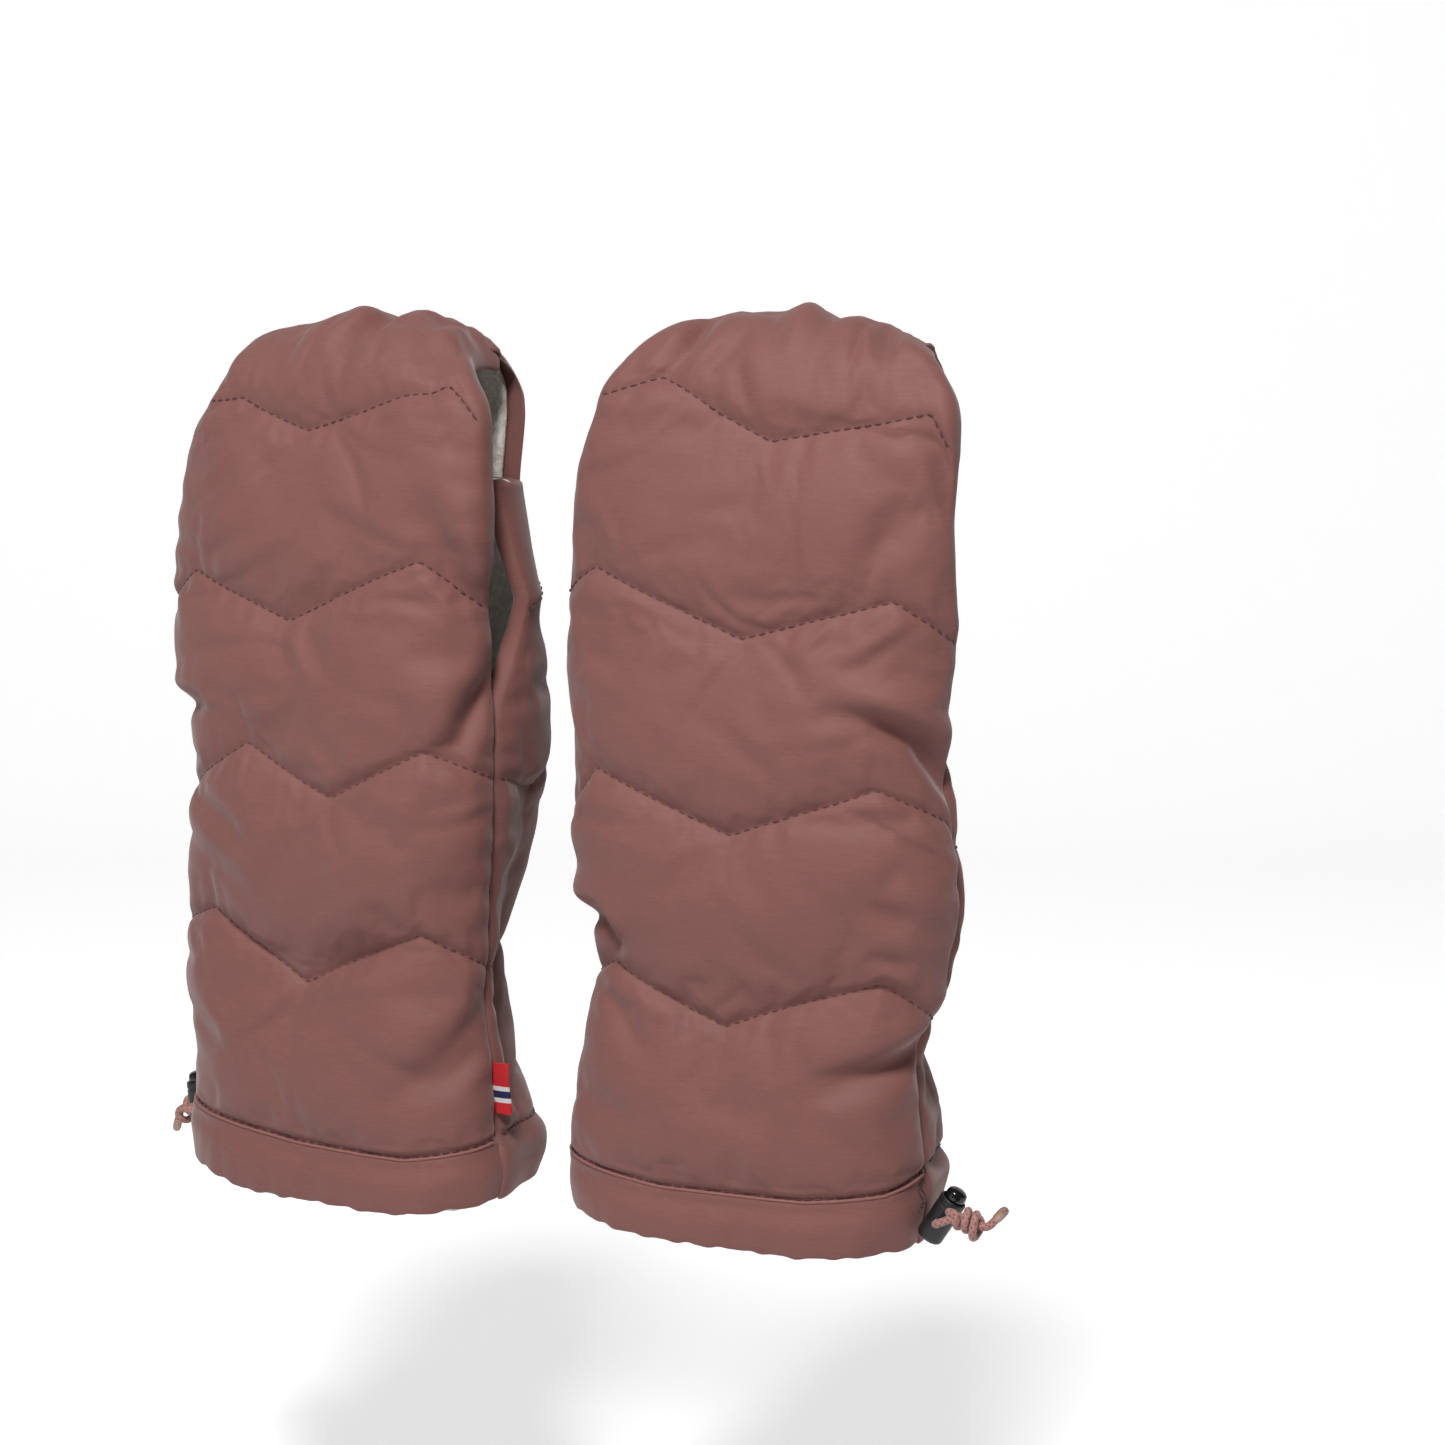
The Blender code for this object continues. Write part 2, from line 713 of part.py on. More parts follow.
def flap(name, side, muff):
    """Flap that closes the back, on an empty at its hinge seam."""
    seam = front_station(FRONT_LENGTH)
    hinge = seam.point(side, 0.0, FLAT_STACK + SEAM_GAP)
    hinge.y += HINGE_SEAM / 2 * math.cos(CREST_TIP_ANGLE)
    hinge.z -= HINGE_SEAM / 2 * math.sin(CREST_TIP_ANGLE)
    axis = add_empty(name + "_flap_axis", hinge, (0.0, 0.0, 0.0), muff)
    run_shares = [(row / FLAP_ROWS) ** FLAP_ROW_SPREAD for row in range(FLAP_ROWS + 1)]
    runs = [HINGE_SEAM + (FLAP_LENGTH - HINGE_SEAM) * share for share in run_shares]
    shell_grid = flap_grid(side, runs, SEAM_GAP, hinge)
    lining_grid = flap_grid(side, runs, -SEAM_GAP - FLAP_LINING_THICKNESS, hinge)

    def outward(point):
        return from_axis(point + hinge)

    add_sheet(name + "_flap_shell", shell_grid, SHELL_THICKNESS, "shell", axis, outward)
    add_sheet(name + "_flap_lining", lining_grid, FLAP_LINING_THICKNESS, "lining", axis, outward)
    return axis, hinge


def flap_grid(side, runs, standoff, origin):
    """Points of one of the flap's layers, relative to its hinge."""
    grid = []
    for run in runs:
        station = flap_station(run)
        grid.append([station.point(side, share, standoff) - origin for share in FLAP_COLUMN_SHARES])
    return grid


def hem_loop(side, drop, standoff):
    """Points round the hem from the outer side seam's front to its back, open at the seam."""
    rise = HEM_DROP - drop
    front = front_station(rise)
    back = back_station(rise)
    points = []
    for share in reversed(front_columns(front.section)):
        points.append(front.point(side, share, standoff))
    for share in back_columns(back.section)[1:]:
        points.append(back.point(side, share, standoff))
    seam_y = front_edge(drop)
    points[0] = open_end(points[1], points[0], seam_y)
    points[-1] = open_end(points[-2], points[-1], seam_y)
    return points


def open_end(inner, outer, seam_y):
    """Stop a loop's end short of the seam by the channel's mouth."""
    run = outer - inner
    stop = seam_y + math.copysign(CHANNEL_MOUTH, inner.y - seam_y)
    return inner + run * ((stop - inner.y) / run.y)


def hem_channel(name, side, muff):
    """Folded casing round the cord, open upwards."""
    inner = SEAM_GAP
    outer = SEAM_GAP + CHANNEL_SPACE - CHANNEL_WALL
    low = HEM_DROP - CHANNEL_FOOT
    high = low - CHANNEL_HEIGHT
    lines = [
        hem_loop(side, high, inner + CHANNEL_WALL),
        hem_loop(side, low, inner + CHANNEL_WALL),
        hem_loop(side, low, outer),
        hem_loop(side, high, outer),
    ]

    def outward(point):
        return Vector((0.0, 0.0, -1.0))

    mesh = grid_mesh(name + "_hem_channel", lines, outward)
    obj = add_object(name + "_hem_channel", mesh, "channel", muff)
    add_solidify(obj, CHANNEL_WALL)


def by_side(side, right, left):
    """The right muff's value or the left one's."""
    return right if side > 0 else left


def lock_way(side):
    """Way along Y in which the cord runs from its seam through the lock: forwards on the right muff."""
    return by_side(side, -1.0, 1.0)


def lock_place(side):
    """Where the cord crosses the cord lock's axis."""
    drop = LOCK_CORD_DROP
    seam_x = half_width(drop) + HEM_STANDOFF + SHELL_THICKNESS
    bore_x = seam_x + by_side(side, RIGHT_LOCK_OUT, LEFT_LOCK_OUT)
    bore_y = front_edge(CORD_DROP) + lock_way(side) * (EXIT_BEND + LOCK_DIAMETER / 2)
    return Vector((side * bore_x, bore_y, -drop))


def drawcord(name, side, muff):
    """Drawcord: round the hem, out of the outer side seam and through the cord lock."""
    standoff = SEAM_GAP + CHANNEL_SPACE / 2
    points = hem_loop(side, CORD_DROP, standoff)
    seam_y = front_edge(CORD_DROP)
    bore = lock_place(side)
    way = lock_way(side)
    last = points[-1]
    for out_share, back_share in EXIT_PATH_SHARES:
        x = last.x + side * EXIT_BEND * out_share
        points.append(Vector((x, seam_y + EXIT_BEND * back_share, last.z)))
    for short_share, away_share, fall_share in LOCK_PATH_SHARES:
        x = bore.x - side * EXIT_BEND * short_share
        z = last.z + (bore.z - last.z) * fall_share
        points.append(Vector((x, seam_y + way * EXIT_BEND * away_share, z)))
    points.append(bore + Vector((0.0, way * (LOCK_DIAMETER / 2 + SEAM_GAP), 0.0)))
    add_tube(name + "_drawcord", points, CORD_DIAMETER, "cord", muff, 1)
    return points[-1]


def exit_cutter(name, side, muff, shells):
    """Opening in the side seam that the cord comes out of."""
    seam_x = half_width(CORD_DROP) + HEM_STANDOFF
    size = (HEM_STANDOFF + SHELL_THICKNESS + 2 * OVERRUN, 2 * EXIT_HALF_WIDTH, EXIT_HEIGHT)
    place = (side * seam_x, front_edge(CORD_DROP), -CORD_DROP)
    box = add_cutter(name + "_cord_exit_cutter", size, place, (0.0, 0.0, 0.0), muff)
    for shell in shells:
        cut(shell, box)


def cord_lock(name, side, muff):
    """Cord lock: a barrel with a cross hole, a spring and a plunger that the cord passes through."""
    lean = by_side(side, RIGHT_LOCK_LEAN, LEFT_LOCK_LEAN)
    axis = add_empty(name + "_lock_axis", lock_place(side), (0.0, side * lean, 0.0), muff)
    bottom = -LOCK_CORD_HEIGHT
    top = bottom + LOCK_LENGTH
    outside = LOCK_DIAMETER / 2
    bore = LOCK_BORE / 2
    rim = LOCK_RIM_SHARE * (outside - bore)
    barrel = add_turned(name + "_lock_body", [
        (0.0, bottom + LOCK_FLOOR),
        (bore, bottom + LOCK_FLOOR),
        (bore, top),
        (outside - rim, top),
        (outside, top - rim),
        (outside, bottom + LOCK_ROUNDING),
        (outside - LOCK_ROUNDING, bottom),
        (0.0, bottom),
    ], "barrel", axis)
    across = (math.pi / 2, 0.0, 0.0)
    centre = (0.0, 0.0, 0.0)
    hole = add_round_cutter(
        name + "_lock_hole_cutter", LOCK_HOLE, LOCK_DIAMETER + OVERRUN, centre, across, axis)
    cut(barrel, hole)

    slot_floor = -CORD_DIAMETER / 2 - SEAM_GAP
    slot_top = CORD_DIAMETER / 2 + SEAM_GAP + BUTTON_TRAVEL
    stem_bottom = slot_floor - BUTTON_SLOT_FLOOR
    button_radius = BUTTON_DIAMETER / 2
    button_top = top + BUTTON_RISE
    dome_height = button_radius / 2
    dome = [(button_radius * math.sin(angle), button_top - dome_height * (1 - math.cos(angle)))
            for angle in (math.pi / 2 * step / DOME_STEPS for step in range(DOME_STEPS + 1))]
    press = add_empty(name + "_button_axis", centre, centre, axis)
    button = add_turned(
        name + "_lock_button", dome + [(button_radius, stem_bottom), (0.0, stem_bottom)], "button", press)
    slot_size = (LOCK_HOLE, BUTTON_DIAMETER + OVERRUN, slot_top - slot_floor)
    slot_place = (0.0, 0.0, (slot_top + slot_floor) / 2)
    slot = add_cutter(name + "_button_slot_cutter", slot_size, slot_place, centre, press)
    cut(button, slot)

    low = bottom + LOCK_FLOOR + SEAM_GAP + SPRING_WIRE / 2
    high = stem_bottom - SEAM_GAP - SPRING_WIRE / 2
    steps = SPRING_CURLS * SPRING_STEPS
    coil = SPRING_DIAMETER / 2
    points = []
    for step in range(steps + 1):
        angle = 2 * math.pi * step / SPRING_STEPS
        height = low + (high - low) * step / steps
        points.append((coil * math.cos(angle), coil * math.sin(angle), height))
    print(name, "spring's least gap to itself, mm:", 1000 * ((high - low) / SPRING_CURLS - SPRING_WIRE))
    add_tube(name + "_lock_spring", points, SPRING_WIRE, "metal", axis, 1)
    return axis


def knot_place(side, along, depth, up):
    """Point of a knot, whose middle line runs outwards and a little down."""
    return Vector((
        side * (along * math.cos(KNOT_ROLL) + up * math.sin(KNOT_ROLL)),
        lock_way(side) * depth,
        up * math.cos(KNOT_ROLL) - along * math.sin(KNOT_ROLL),
    ))


def knot_lead():
    """Behind the wraps to the knot's outer end, and round it inwards, as (along, radius, angle) points."""
    reach = KNOT_WRAPS * KNOT_PITCH / 2
    turn_in = reach - KNOT_BEND_SHARE * KNOT_BEND
    dip = math.atan2(KNOT_DIP, KNOT_REAR)
    points = [
        (-reach - KNOT_OVERHANG, math.hypot(KNOT_REAR, KNOT_DIP), math.pi + dip),
        (0.0, KNOT_REAR, math.pi),
        (turn_in, KNOT_REAR, math.pi),
    ]
    half = math.pi / 4
    across = KNOT_BEND * (1 - math.cos(half)) / KNOT_REAR
    points.append((turn_in + KNOT_BEND * math.sin(half), KNOT_REAR, math.pi + across))
    for step in range(KNOT_STEPS):
        share = step / KNOT_STEPS
        eased = share * share * (3 - 2 * share)
        radius = KNOT_REAR + (KNOT_RADIUS - KNOT_REAR) * eased
        along = reach + (1 - KNOT_BEND_SHARE) * KNOT_BEND * (1 - share)
        points.append((along, radius, math.pi + KNOT_BEND / KNOT_REAR + KNOT_LEAD * share))
    return points


def knot_path(side):
    """A barrel knot's centre line, from the end that the stub meets to the tail's end."""
    reach = KNOT_WRAPS * KNOT_PITCH / 2
    rounds = knot_lead()
    first = math.pi + KNOT_BEND / KNOT_REAR + KNOT_LEAD
    for step in range(KNOT_WRAPS * KNOT_STEPS + 1):
        turn = step / KNOT_STEPS
        rounds.append((reach - KNOT_PITCH * turn, KNOT_RADIUS, first + 2 * math.pi * turn))
    points = [knot_place(side, along, radius * math.cos(angle), radius * math.sin(angle))
              for along, radius, angle in rounds]
    last = rounds[-1][2]
    radial = Vector((0.0, math.cos(last), math.sin(last)))
    tangent = Vector((0.0, -math.sin(last), math.cos(last)))
    for step in range(1, KNOT_BEND_STEPS + 1):
        angle = math.pi / 2 * step / KNOT_BEND_STEPS
        point = radial * KNOT_RADIUS + tangent * KNOT_BEND * math.sin(angle)
        points.append(knot_place(side, -reach - KNOT_BEND * (1 - math.cos(angle)), point.y, point.z))
    far = radial * KNOT_RADIUS + tangent * KNOT_BEND
    for step in range(1, 2 * KNOT_BEND_STEPS + 1):
        angle = math.pi / 2 * step / KNOT_BEND_STEPS
        point = far * (1 + math.cos(angle)) / 2
        along = -reach - KNOT_BEND - far.length / 2 * math.sin(angle)
        points.append(knot_place(side, along, point.y, point.z))
    run = 2 * reach + KNOT_BEND + KNOT_CORE_OVERHANG
    for step in range(1, KNOT_CORE_STEPS + 1):
        points.append(knot_place(side, -reach - KNOT_BEND + run * step / KNOT_CORE_STEPS, 0.0, 0.0))
    return points


def least_gap(points, diameter):
    """Least gap of a tube to itself, between points over three diameters apart along it."""
    least = math.inf
    for first, start in enumerate(points):
        travel = 0.0
        for second in range(first + 1, len(points)):
            travel += (points[second] - points[second - 1]).length
            if travel > 3.0 * diameter:
                least = min(least, (points[second] - start).length - diameter)
    return least


def cord_end(name, side, muff, exit_point):
    """Knot, tail and tip, which slide out of the lock together, and the stub that follows them."""
    knot = knot_path(side)
    print(name, "knot's least gap to itself, mm:", 1000 * least_gap(knot, CORD_DIAMETER))
    along = Vector((0.0, lock_way(side), 0.0))
    out = by_side(side, RIGHT_KNOT_OUT, LEFT_KNOT_OUT)
    rise = by_side(side, RIGHT_KNOT_RISE, LEFT_KNOT_RISE)
    centre = exit_point + along * KNOT_AWAY + Vector((side * out, 0.0, rise))
    axis = add_empty(name + "_cord_axis", centre, (0.0, 0.0, 0.0), muff)
    add_tube(name + "_cord_knot", knot, CORD_DIAMETER, "cord", axis, 1)

    start = exit_point + along * 2 * SEAM_GAP
    stop_way = (knot[1] - knot[0]).normalized()
    stop = centre + knot[0] - stop_way * 2 * SEAM_GAP
    reach = (stop - start).length * STUB_PULL_SHARE
    stub = []
    for step in range(STUB_STEPS + 1):
        share = step / STUB_STEPS
        first = start + along * reach
        second = stop - stop_way * reach
        point = start * (1 - share) ** 3 + first * (3 * share * (1 - share) ** 2)
        point += second * (3 * share**2 * (1 - share)) + stop * share**3
        stub.append(point)
    add_tube(name + "_cord_stub", stub, CORD_DIAMETER, "cord", muff)

    way = (knot[-1] - knot[-2]).normalized()
    tail_lean = by_side(side, RIGHT_TAIL_LEAN, LEFT_TAIL_LEAN)
    lean = Vector((side * math.sin(tail_lean), 0.0, math.cos(tail_lean)))
    turn = way.rotation_difference(lean)
    tail = [knot[-1] + way * 2 * SEAM_GAP]
    for step in range(TAIL_STEPS):
        heading = Quaternion(turn.axis, turn.angle * min(step / TAIL_TURN_STEPS, 1.0)) @ way
        tail.append(tail[-1] + heading * (TAIL_LENGTH / TAIL_STEPS))
    add_tube(name + "_cord_tail", tail, CORD_DIAMETER, "cord", axis)
    tail_way = (tail[-1] - tail[-2]).normalized()
    tip_start = tail[-1] + tail_way * 2 * SEAM_GAP
    tip = [tip_start, tip_start + tail_way * TIP_LENGTH]
    add_tube(name + "_cord_tip", tip, CORD_DIAMETER + 2 * TIP_WALL, "tip", axis)


def snap_seat(side, across):
    """Point and outward direction on the back shell's outer face for a press stud."""
    station = back_station(HEM_DROP - SNAP_DROP)
    share = across / station.section.crown_length
    point = station.point(side, share, FLAT_STACK)
    angle = station.section.at(abs(share))[2]
    return point, math.copysign(angle, share * side)


def snaps(name, side, muff, flap_axis, hinge):
    """Two press studs on the back panel and their sockets on the flap."""
    bend_end = flap_station(FLAP_BEND)
    snap_out = SNAP_SHARE * flap_station(FLAP_BEND + bend_end.z + SNAP_DROP).section.crown_length
    for label, across in (("inner", -snap_out), ("outer", snap_out)):
        seat, angle = snap_seat(side, across)
        facing = (-math.pi / 2, 0.0, -angle)
        mount = add_empty(f"{name}_{label}_snap_seat", seat, facing, muff)
        flange = SEAM_GAP + STUD_FLANGE_THICKNESS
        tip = SNAP_SPACE - SNAP_EASE
        add_turned(f"{name}_{label}_snap_stud", [
            (0.0, tip),
            (STUD_DIAMETER / 2, tip),
            (STUD_DIAMETER / 2, flange),
            (STUD_FLANGE_DIAMETER / 2, flange),
            (STUD_FLANGE_DIAMETER / 2, SEAM_GAP),
            (0.0, SEAM_GAP),
        ], "metal", mount, STUD_SIDES)
        flap_mount = add_empty(f"{name}_{label}_socket_seat", seat - hinge, facing, flap_axis)
        bottom = tip - SOCKET_THICKNESS
        hole = STUD_DIAMETER / 2 + SOCKET_CLEARANCE
        outside = SOCKET_DIAMETER / 2
        add_turned(f"{name}_{label}_snap_socket", [
            (outside, tip), (outside, bottom), (hole, bottom), (hole, tip), (outside, tip),
        ], "metal", flap_mount, STUD_SIDES)


def side_tab(name, side, muff):
    """Woven tab sewn into the inner side seam."""
    bpy.ops.mesh.primitive_cube_add(size=1.0)
    tab = bpy.context.active_object
    tab.name = name + "_side_tab"
    tab.data.name = tab.name
    tab.data.transform(Matrix.Diagonal((TAB_REACH, TAB_THICKNESS, TAB_LENGTH, 1.0)))
    for collection in list(tab.users_collection):
        collection.objects.unlink(tab)
    parts.objects.link(tab)
    widest = max(half_width(TAB_DROP - TAB_LENGTH / 2), half_width(TAB_DROP + TAB_LENGTH / 2))
    seam_x = widest + FLAT_STACK + SEAM_GAP + TAB_REACH / 2
    tab.location = (-side * seam_x, front_edge(TAB_DROP), -TAB_DROP)
    finish_object(tab, "tab", muff)


def build_muff(name, side, yaw, roll):
    """One muff on its empty."""
    place = (side * MUFF_SPACING / 2, BAR_SWEEP, -BAR_FALL)
    muff = add_empty(name + "_muff", place, (0.0, side * roll, side * yaw))
    shells = panels(name, side, muff)
    exit_cutter(name, side, muff, shells)
    flap_axis, hinge = flap(name, side, muff)
    snaps(name, side, muff, flap_axis, hinge)
    hem_channel(name, side, muff)
    exit_point = drawcord(name, side, muff)
    cord_lock(name, side, muff)
    cord_end(name, side, muff, exit_point)
    return muff


clear_scene()
build_muff("right", 1, RIGHT_YAW, RIGHT_ROLL)
left_muff = build_muff("left", -1, LEFT_YAW, LEFT_ROLL)
side_tab("left", -1, left_muff)
bpy.context.view_layer.update()
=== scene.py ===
import math

import bmesh
import bpy
import numpy as np
from mathutils import Matrix, Quaternion, Vector


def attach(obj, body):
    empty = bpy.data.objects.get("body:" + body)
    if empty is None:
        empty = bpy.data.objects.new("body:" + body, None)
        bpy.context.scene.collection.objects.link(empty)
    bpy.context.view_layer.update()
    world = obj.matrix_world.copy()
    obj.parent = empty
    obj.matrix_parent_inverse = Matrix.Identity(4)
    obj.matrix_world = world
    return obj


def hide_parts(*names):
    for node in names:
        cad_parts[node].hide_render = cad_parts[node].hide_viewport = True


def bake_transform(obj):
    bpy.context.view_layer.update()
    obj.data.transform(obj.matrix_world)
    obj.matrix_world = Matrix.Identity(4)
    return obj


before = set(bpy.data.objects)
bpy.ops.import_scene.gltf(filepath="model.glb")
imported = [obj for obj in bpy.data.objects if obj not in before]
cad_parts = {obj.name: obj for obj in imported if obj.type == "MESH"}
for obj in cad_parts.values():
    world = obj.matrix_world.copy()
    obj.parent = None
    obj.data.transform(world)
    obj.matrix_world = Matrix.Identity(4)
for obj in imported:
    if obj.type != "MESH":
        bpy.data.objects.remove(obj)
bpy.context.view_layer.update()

# Sizes in metres, angles, shares and counts
SEAM_GAP = 0.0003
LINING = 0.0040
AT_STITCH = 0.0015
PUFF = 0.0055
SHELL = 0.0010
TUNNEL_RADIUS = 0.0190
BASE_RADIUS = TUNNEL_RADIUS + LINING + 2 * SEAM_GAP
FLAT_STACK = AT_STITCH + SEAM_GAP + SHELL
PUFFED_STACK = FLAT_STACK + PUFF
SLOT_DROP, SLOT_WIDTH, SLOT_TAPER = 0.1050, 0.0150, 0.0500
HEM_DROP, BACK_TOP_DROP = 0.2700, 0.0220
BAR_WIDTH, CREST_WIDTH, CREST_FLAT, CREST_TIP_RADIUS = 0.117, 0.085, 0.0120, 0.0200
CREST_TIP_ANGLE, CREST_TURN = math.radians(20), math.radians(5)
FLAP_BEND, FLAP_STRAIGHT, FLAP_SEAT_DROP, FLAP_WIDTH = 0.0260, 0.0520, 0.0520, 0.077
FLAP_END_TURN, FLAP_LINING, HINGE_SEAM = math.radians(24), 0.0030, 0.0006
FLAP_LENGTH = FLAP_BEND + FLAP_STRAIGHT
WIDTHS = [(0.0, BAR_WIDTH), (0.060, 0.124), (0.125, 0.118), (0.190, 0.108), (0.232, 0.116), (0.270, 0.113)]
FRONTS = [(0.0, BASE_RADIUS + PUFFED_STACK), (0.060, 0.0390), (0.125, 0.0440), (0.190, 0.0390),
          (0.253, 0.0420), (0.270, 0.0420)]
QUARTER = BASE_RADIUS * math.pi / 2
FRONT_LENGTH = HEM_DROP + QUARTER + CREST_FLAT + CREST_TIP_RADIUS * CREST_TIP_ANGLE
BACK_LENGTH = HEM_DROP - BACK_TOP_DROP
SNAP_SHARE, SNAP_DROP, SNAP_SPACE, SNAP_EASE = 0.63, 0.0370, 0.0036, 0.0009
QUILT_PITCH, QUILT_FIRST, QUILT_AMPLITUDE, QUILT_HALF, SIDE_FALL = 0.062, 0.008, 0.018, 0.044, 0.65
PANEL_HALF = 0.062
CORD, CORD_DROP, EXIT_BEND, CHANNEL_MOUTH = 0.0026, 0.2605, 0.0035, 0.0045
CHANNEL_SPACE, CHANNEL_FOOT, CHANNEL_HEIGHT = 0.0046, 0.0015, 0.0100
HEM_STANDOFF = CHANNEL_SPACE + 2 * SEAM_GAP
LOCK_DIAMETER, LOCK_LENGTH, LOCK_BORE, LOCK_FLOOR = 0.0088, 0.0160, 0.0073, 0.0012
LOCK_CORD_HEIGHT, LOCK_CORD_DROP = 0.0076, 0.2525
LOCK_HOLE, BUTTON_DIAMETER, BUTTON_RISE, BUTTON_TRAVEL = 0.0032, 0.0069, 0.0038, 0.0020
KNOT_WRAPS, KNOT_RADIUS, KNOT_PITCH, KNOT_BEND, KNOT_BEND_SHARE = 2, 0.0029, 0.00285, 0.0016, 0.4
KNOT_LEAD, KNOT_ROLL = math.radians(162), math.radians(15)
KNOT_REAR, KNOT_DIP, KNOT_AWAY, STUB_PULL = 0.0058, 0.0030, 0.0095, 0.4
KNOT_OVERHANG, KNOT_CORE_OVERHANG = 0.0020, 0.0010
TAIL_LENGTH, TIP_LENGTH, TIP_WALL = 0.0060, 0.0040, 0.0003
MUFF_SPACING, BAR_SWEEP, BAR_FALL = 0.1550, 0.0035, 0.0035

STITCH, STITCH_GAP, TACK, TACK_GAP = 0.0029, 0.0005, 0.0012, 0.0002
THREAD_RADIUS, THREAD_OFFSET, HEM_THREAD_OFFSET, FOLD_RADIUS = 0.00029, 0.00020, 0.00055, 0.00052
EDGE_HALF, SCALLOP = 0.056, 0.00035
# How far the panels are faced inwards at their free edges, in mm
FACING = 4.6
CREST_BASE, CREST_EASE, OPEN_EASE = 0.004, 0.030, 0.012
PILE_TOP, PILE_DEPTH, PILE_LUMP, FLAP_PILE, FLAP_LUMP = 0.0006, 0.0042, 0.0006, 0.0026, 0.0003
CASING_TOP = CHANNEL_FOOT + CHANNEL_HEIGHT
# Standoffs and shares of the casing's height, up its outer face and down its inner one
CASING_PROFILE = [(0.0004, 1.0), (0.0004, 0.5), (0.0004, 0.06), (0.0012, 0.0), (0.0030, 0.0), (0.0038, 0.06),
                  (0.0038, 0.5), (0.0038, 1.0), (0.0033, 1.0), (0.0033, 0.5), (0.0033, 0.12), (0.0028, 0.07),
                  (0.0014, 0.07), (0.0009, 0.12), (0.0009, 0.5), (0.0009, 1.0)]
SEAM_HALF, FLAP_CORNER, FLAP_PILE_SHARE = 0.0035, 0.010, 0.84
TAB_DROP, TAB_HALF, TAB_REACH, TAB_THICK, FLOOR_DROP = 0.2260, 0.0085, 0.0052, 0.00055, 0.42
FRONT_COLUMNS, BACK_COLUMNS, SIDE_COLUMNS, FLAP_COLUMNS, FLAP_ROWS = 77, 49, 14, 41, 44
FRONT_ROW, BACK_ROW, BACK_RISE = 0.0020, 0.0024, 0.0040
CREASES, CLOTH_FRAMES, CLOTH_PRESSURE, CLOTH_CAP, CLOTH_GROWTH = 46, 20, 3.0, 0.0022, 0.02
MM, TO_MM, TINY = 0.001, 1000, 1e-12

# Ten points and weights of an integral from 0 to 1
LEG_X, LEG_W = np.polynomial.legendre.leggauss(10)
LEG_X, LEG_W = (LEG_X + 1) / 2, LEG_W / 2


# The muffs' own shapes
class Muff:
    """One muff: its side, its place on the bar, and what the photograph shows of its shape.

    Lines and folds are points of (mm across the front as the camera sees it, mm up from the hem), and a fold
    also has a depth and a width in mm. Edges are (mm below the bar, mm out at the outer edge, mm out at the
    inner edge), the crest is (mm across, mm up), and `peek` is (share across, mm of pile that shows below the
    hem). `yaw` and `roll` turn the muff, in degrees. `lock` is how far the cord lock stands out of the seam
    and how it leans, `knot` is how far the knot lies out of the lock and above it, and `tail` is how the
    cord's tail leans.
    """

    def __init__(self, name, side, yaw, roll, lock, knot, tail, lines, hem, bottom, edges, back_edges, crest,
                 peek, folds):
        self.name = name
        self.side = side
        # the cord lock hangs in front of its seam on the right muff, and behind it on the left one
        self.way = -side
        self.lock_out, self.lock_lean = lock[0], math.radians(lock[1])
        self.knot_out, self.knot_rise = knot
        self.tail_lean = math.radians(tail)
        y, r = math.radians(side * yaw), math.radians(side * roll)
        turn_z = np.array([[math.cos(y), -math.sin(y), 0], [math.sin(y), math.cos(y), 0], [0, 0, 1]])
        turn_y = np.array([[math.cos(r), 0, math.sin(r)], [0, 1, 0], [-math.sin(r), 0, math.cos(r)]])
        self.turn = turn_z @ turn_y
        self.place = np.array([side * MUFF_SPACING / 2, BAR_SWEEP, -BAR_FALL])
        self.lines, self.hem, self.bottom, self.peek = lines, hem, bottom, peek
        self.edges, self.back_edges, self.crest, self.folds = edges, back_edges, crest, folds

    def world(self, local):
        """Row-frame points of points in the muff's frame, whose +X runs outwards."""
        return (np.asarray(local) * [self.side, 1, 1]) @ self.turn.T + self.place

    def direction(self, local):
        return (np.asarray(local) * [self.side, 1, 1]) @ self.turn.T

    def shaped(self, local, share=None):
        """The muff's own outline: how far its side edges and its crest stand from the plain form.

        `share` is given for the back, whose side panels run into the front's edges.
        """
        local = np.array(local, float)
        drop, x, z = -TO_MM * local[..., 2], local[..., 0], local[..., 2]
        drops, outer, inner = zip(*self.edges)
        out, inn = np.interp(drop, drops, outer), np.interp(drop, drops, inner)
        if share is not None:
            drops, outer, inner = zip(*self.back_edges)
            seam = ease(np.abs(share) - 1.0) * ease((drop - 88) / 30)
            out = out * seam + np.interp(drop, drops, outer) * (1 - seam)
            inn = inn * seam + np.interp(drop, drops, inner) * (1 - seam)
        local[..., 0] += np.where(x > 0, out * ease(x / EDGE_HALF), -inn * ease(-x / EDGE_HALF)) * MM
        across = self.side * x * TO_MM
        local[..., 2] += np.interp(across, *zip(*self.crest)) * MM * ease((z + CREST_BASE) / CREST_EASE)
        return local

    def low_edge(self, share):
        """Rise of the hem's lower edge, drawn up a little between its stitches."""
        waves = np.sin(40.0 * share + 1.0) + 0.6 * np.sin(71.0 * share + self.side)
        return self.table(self.bottom, share) + SCALLOP * waves * ease((1 - np.abs(share)) / 0.08)

    def back_low_edge(self, seam):
        """Rise of the back's lower edge, from the side of the seam that it meets."""
        return self.table(self.bottom, seam) * 0.7 + 0.3 * BACK_RISE

    def table(self, points, share):
        """Rise of a line at shares across."""
        pairs = sorted((self.side * s * MM / front_length(r * MM), r * MM) for s, r in points)
        return np.interp(share, *zip(*pairs))


def ease(t):
    """A smooth step from 0 to 1."""
    t = np.clip(t, 0.0, 1.0)
    return t * t * (3 - 2 * t)


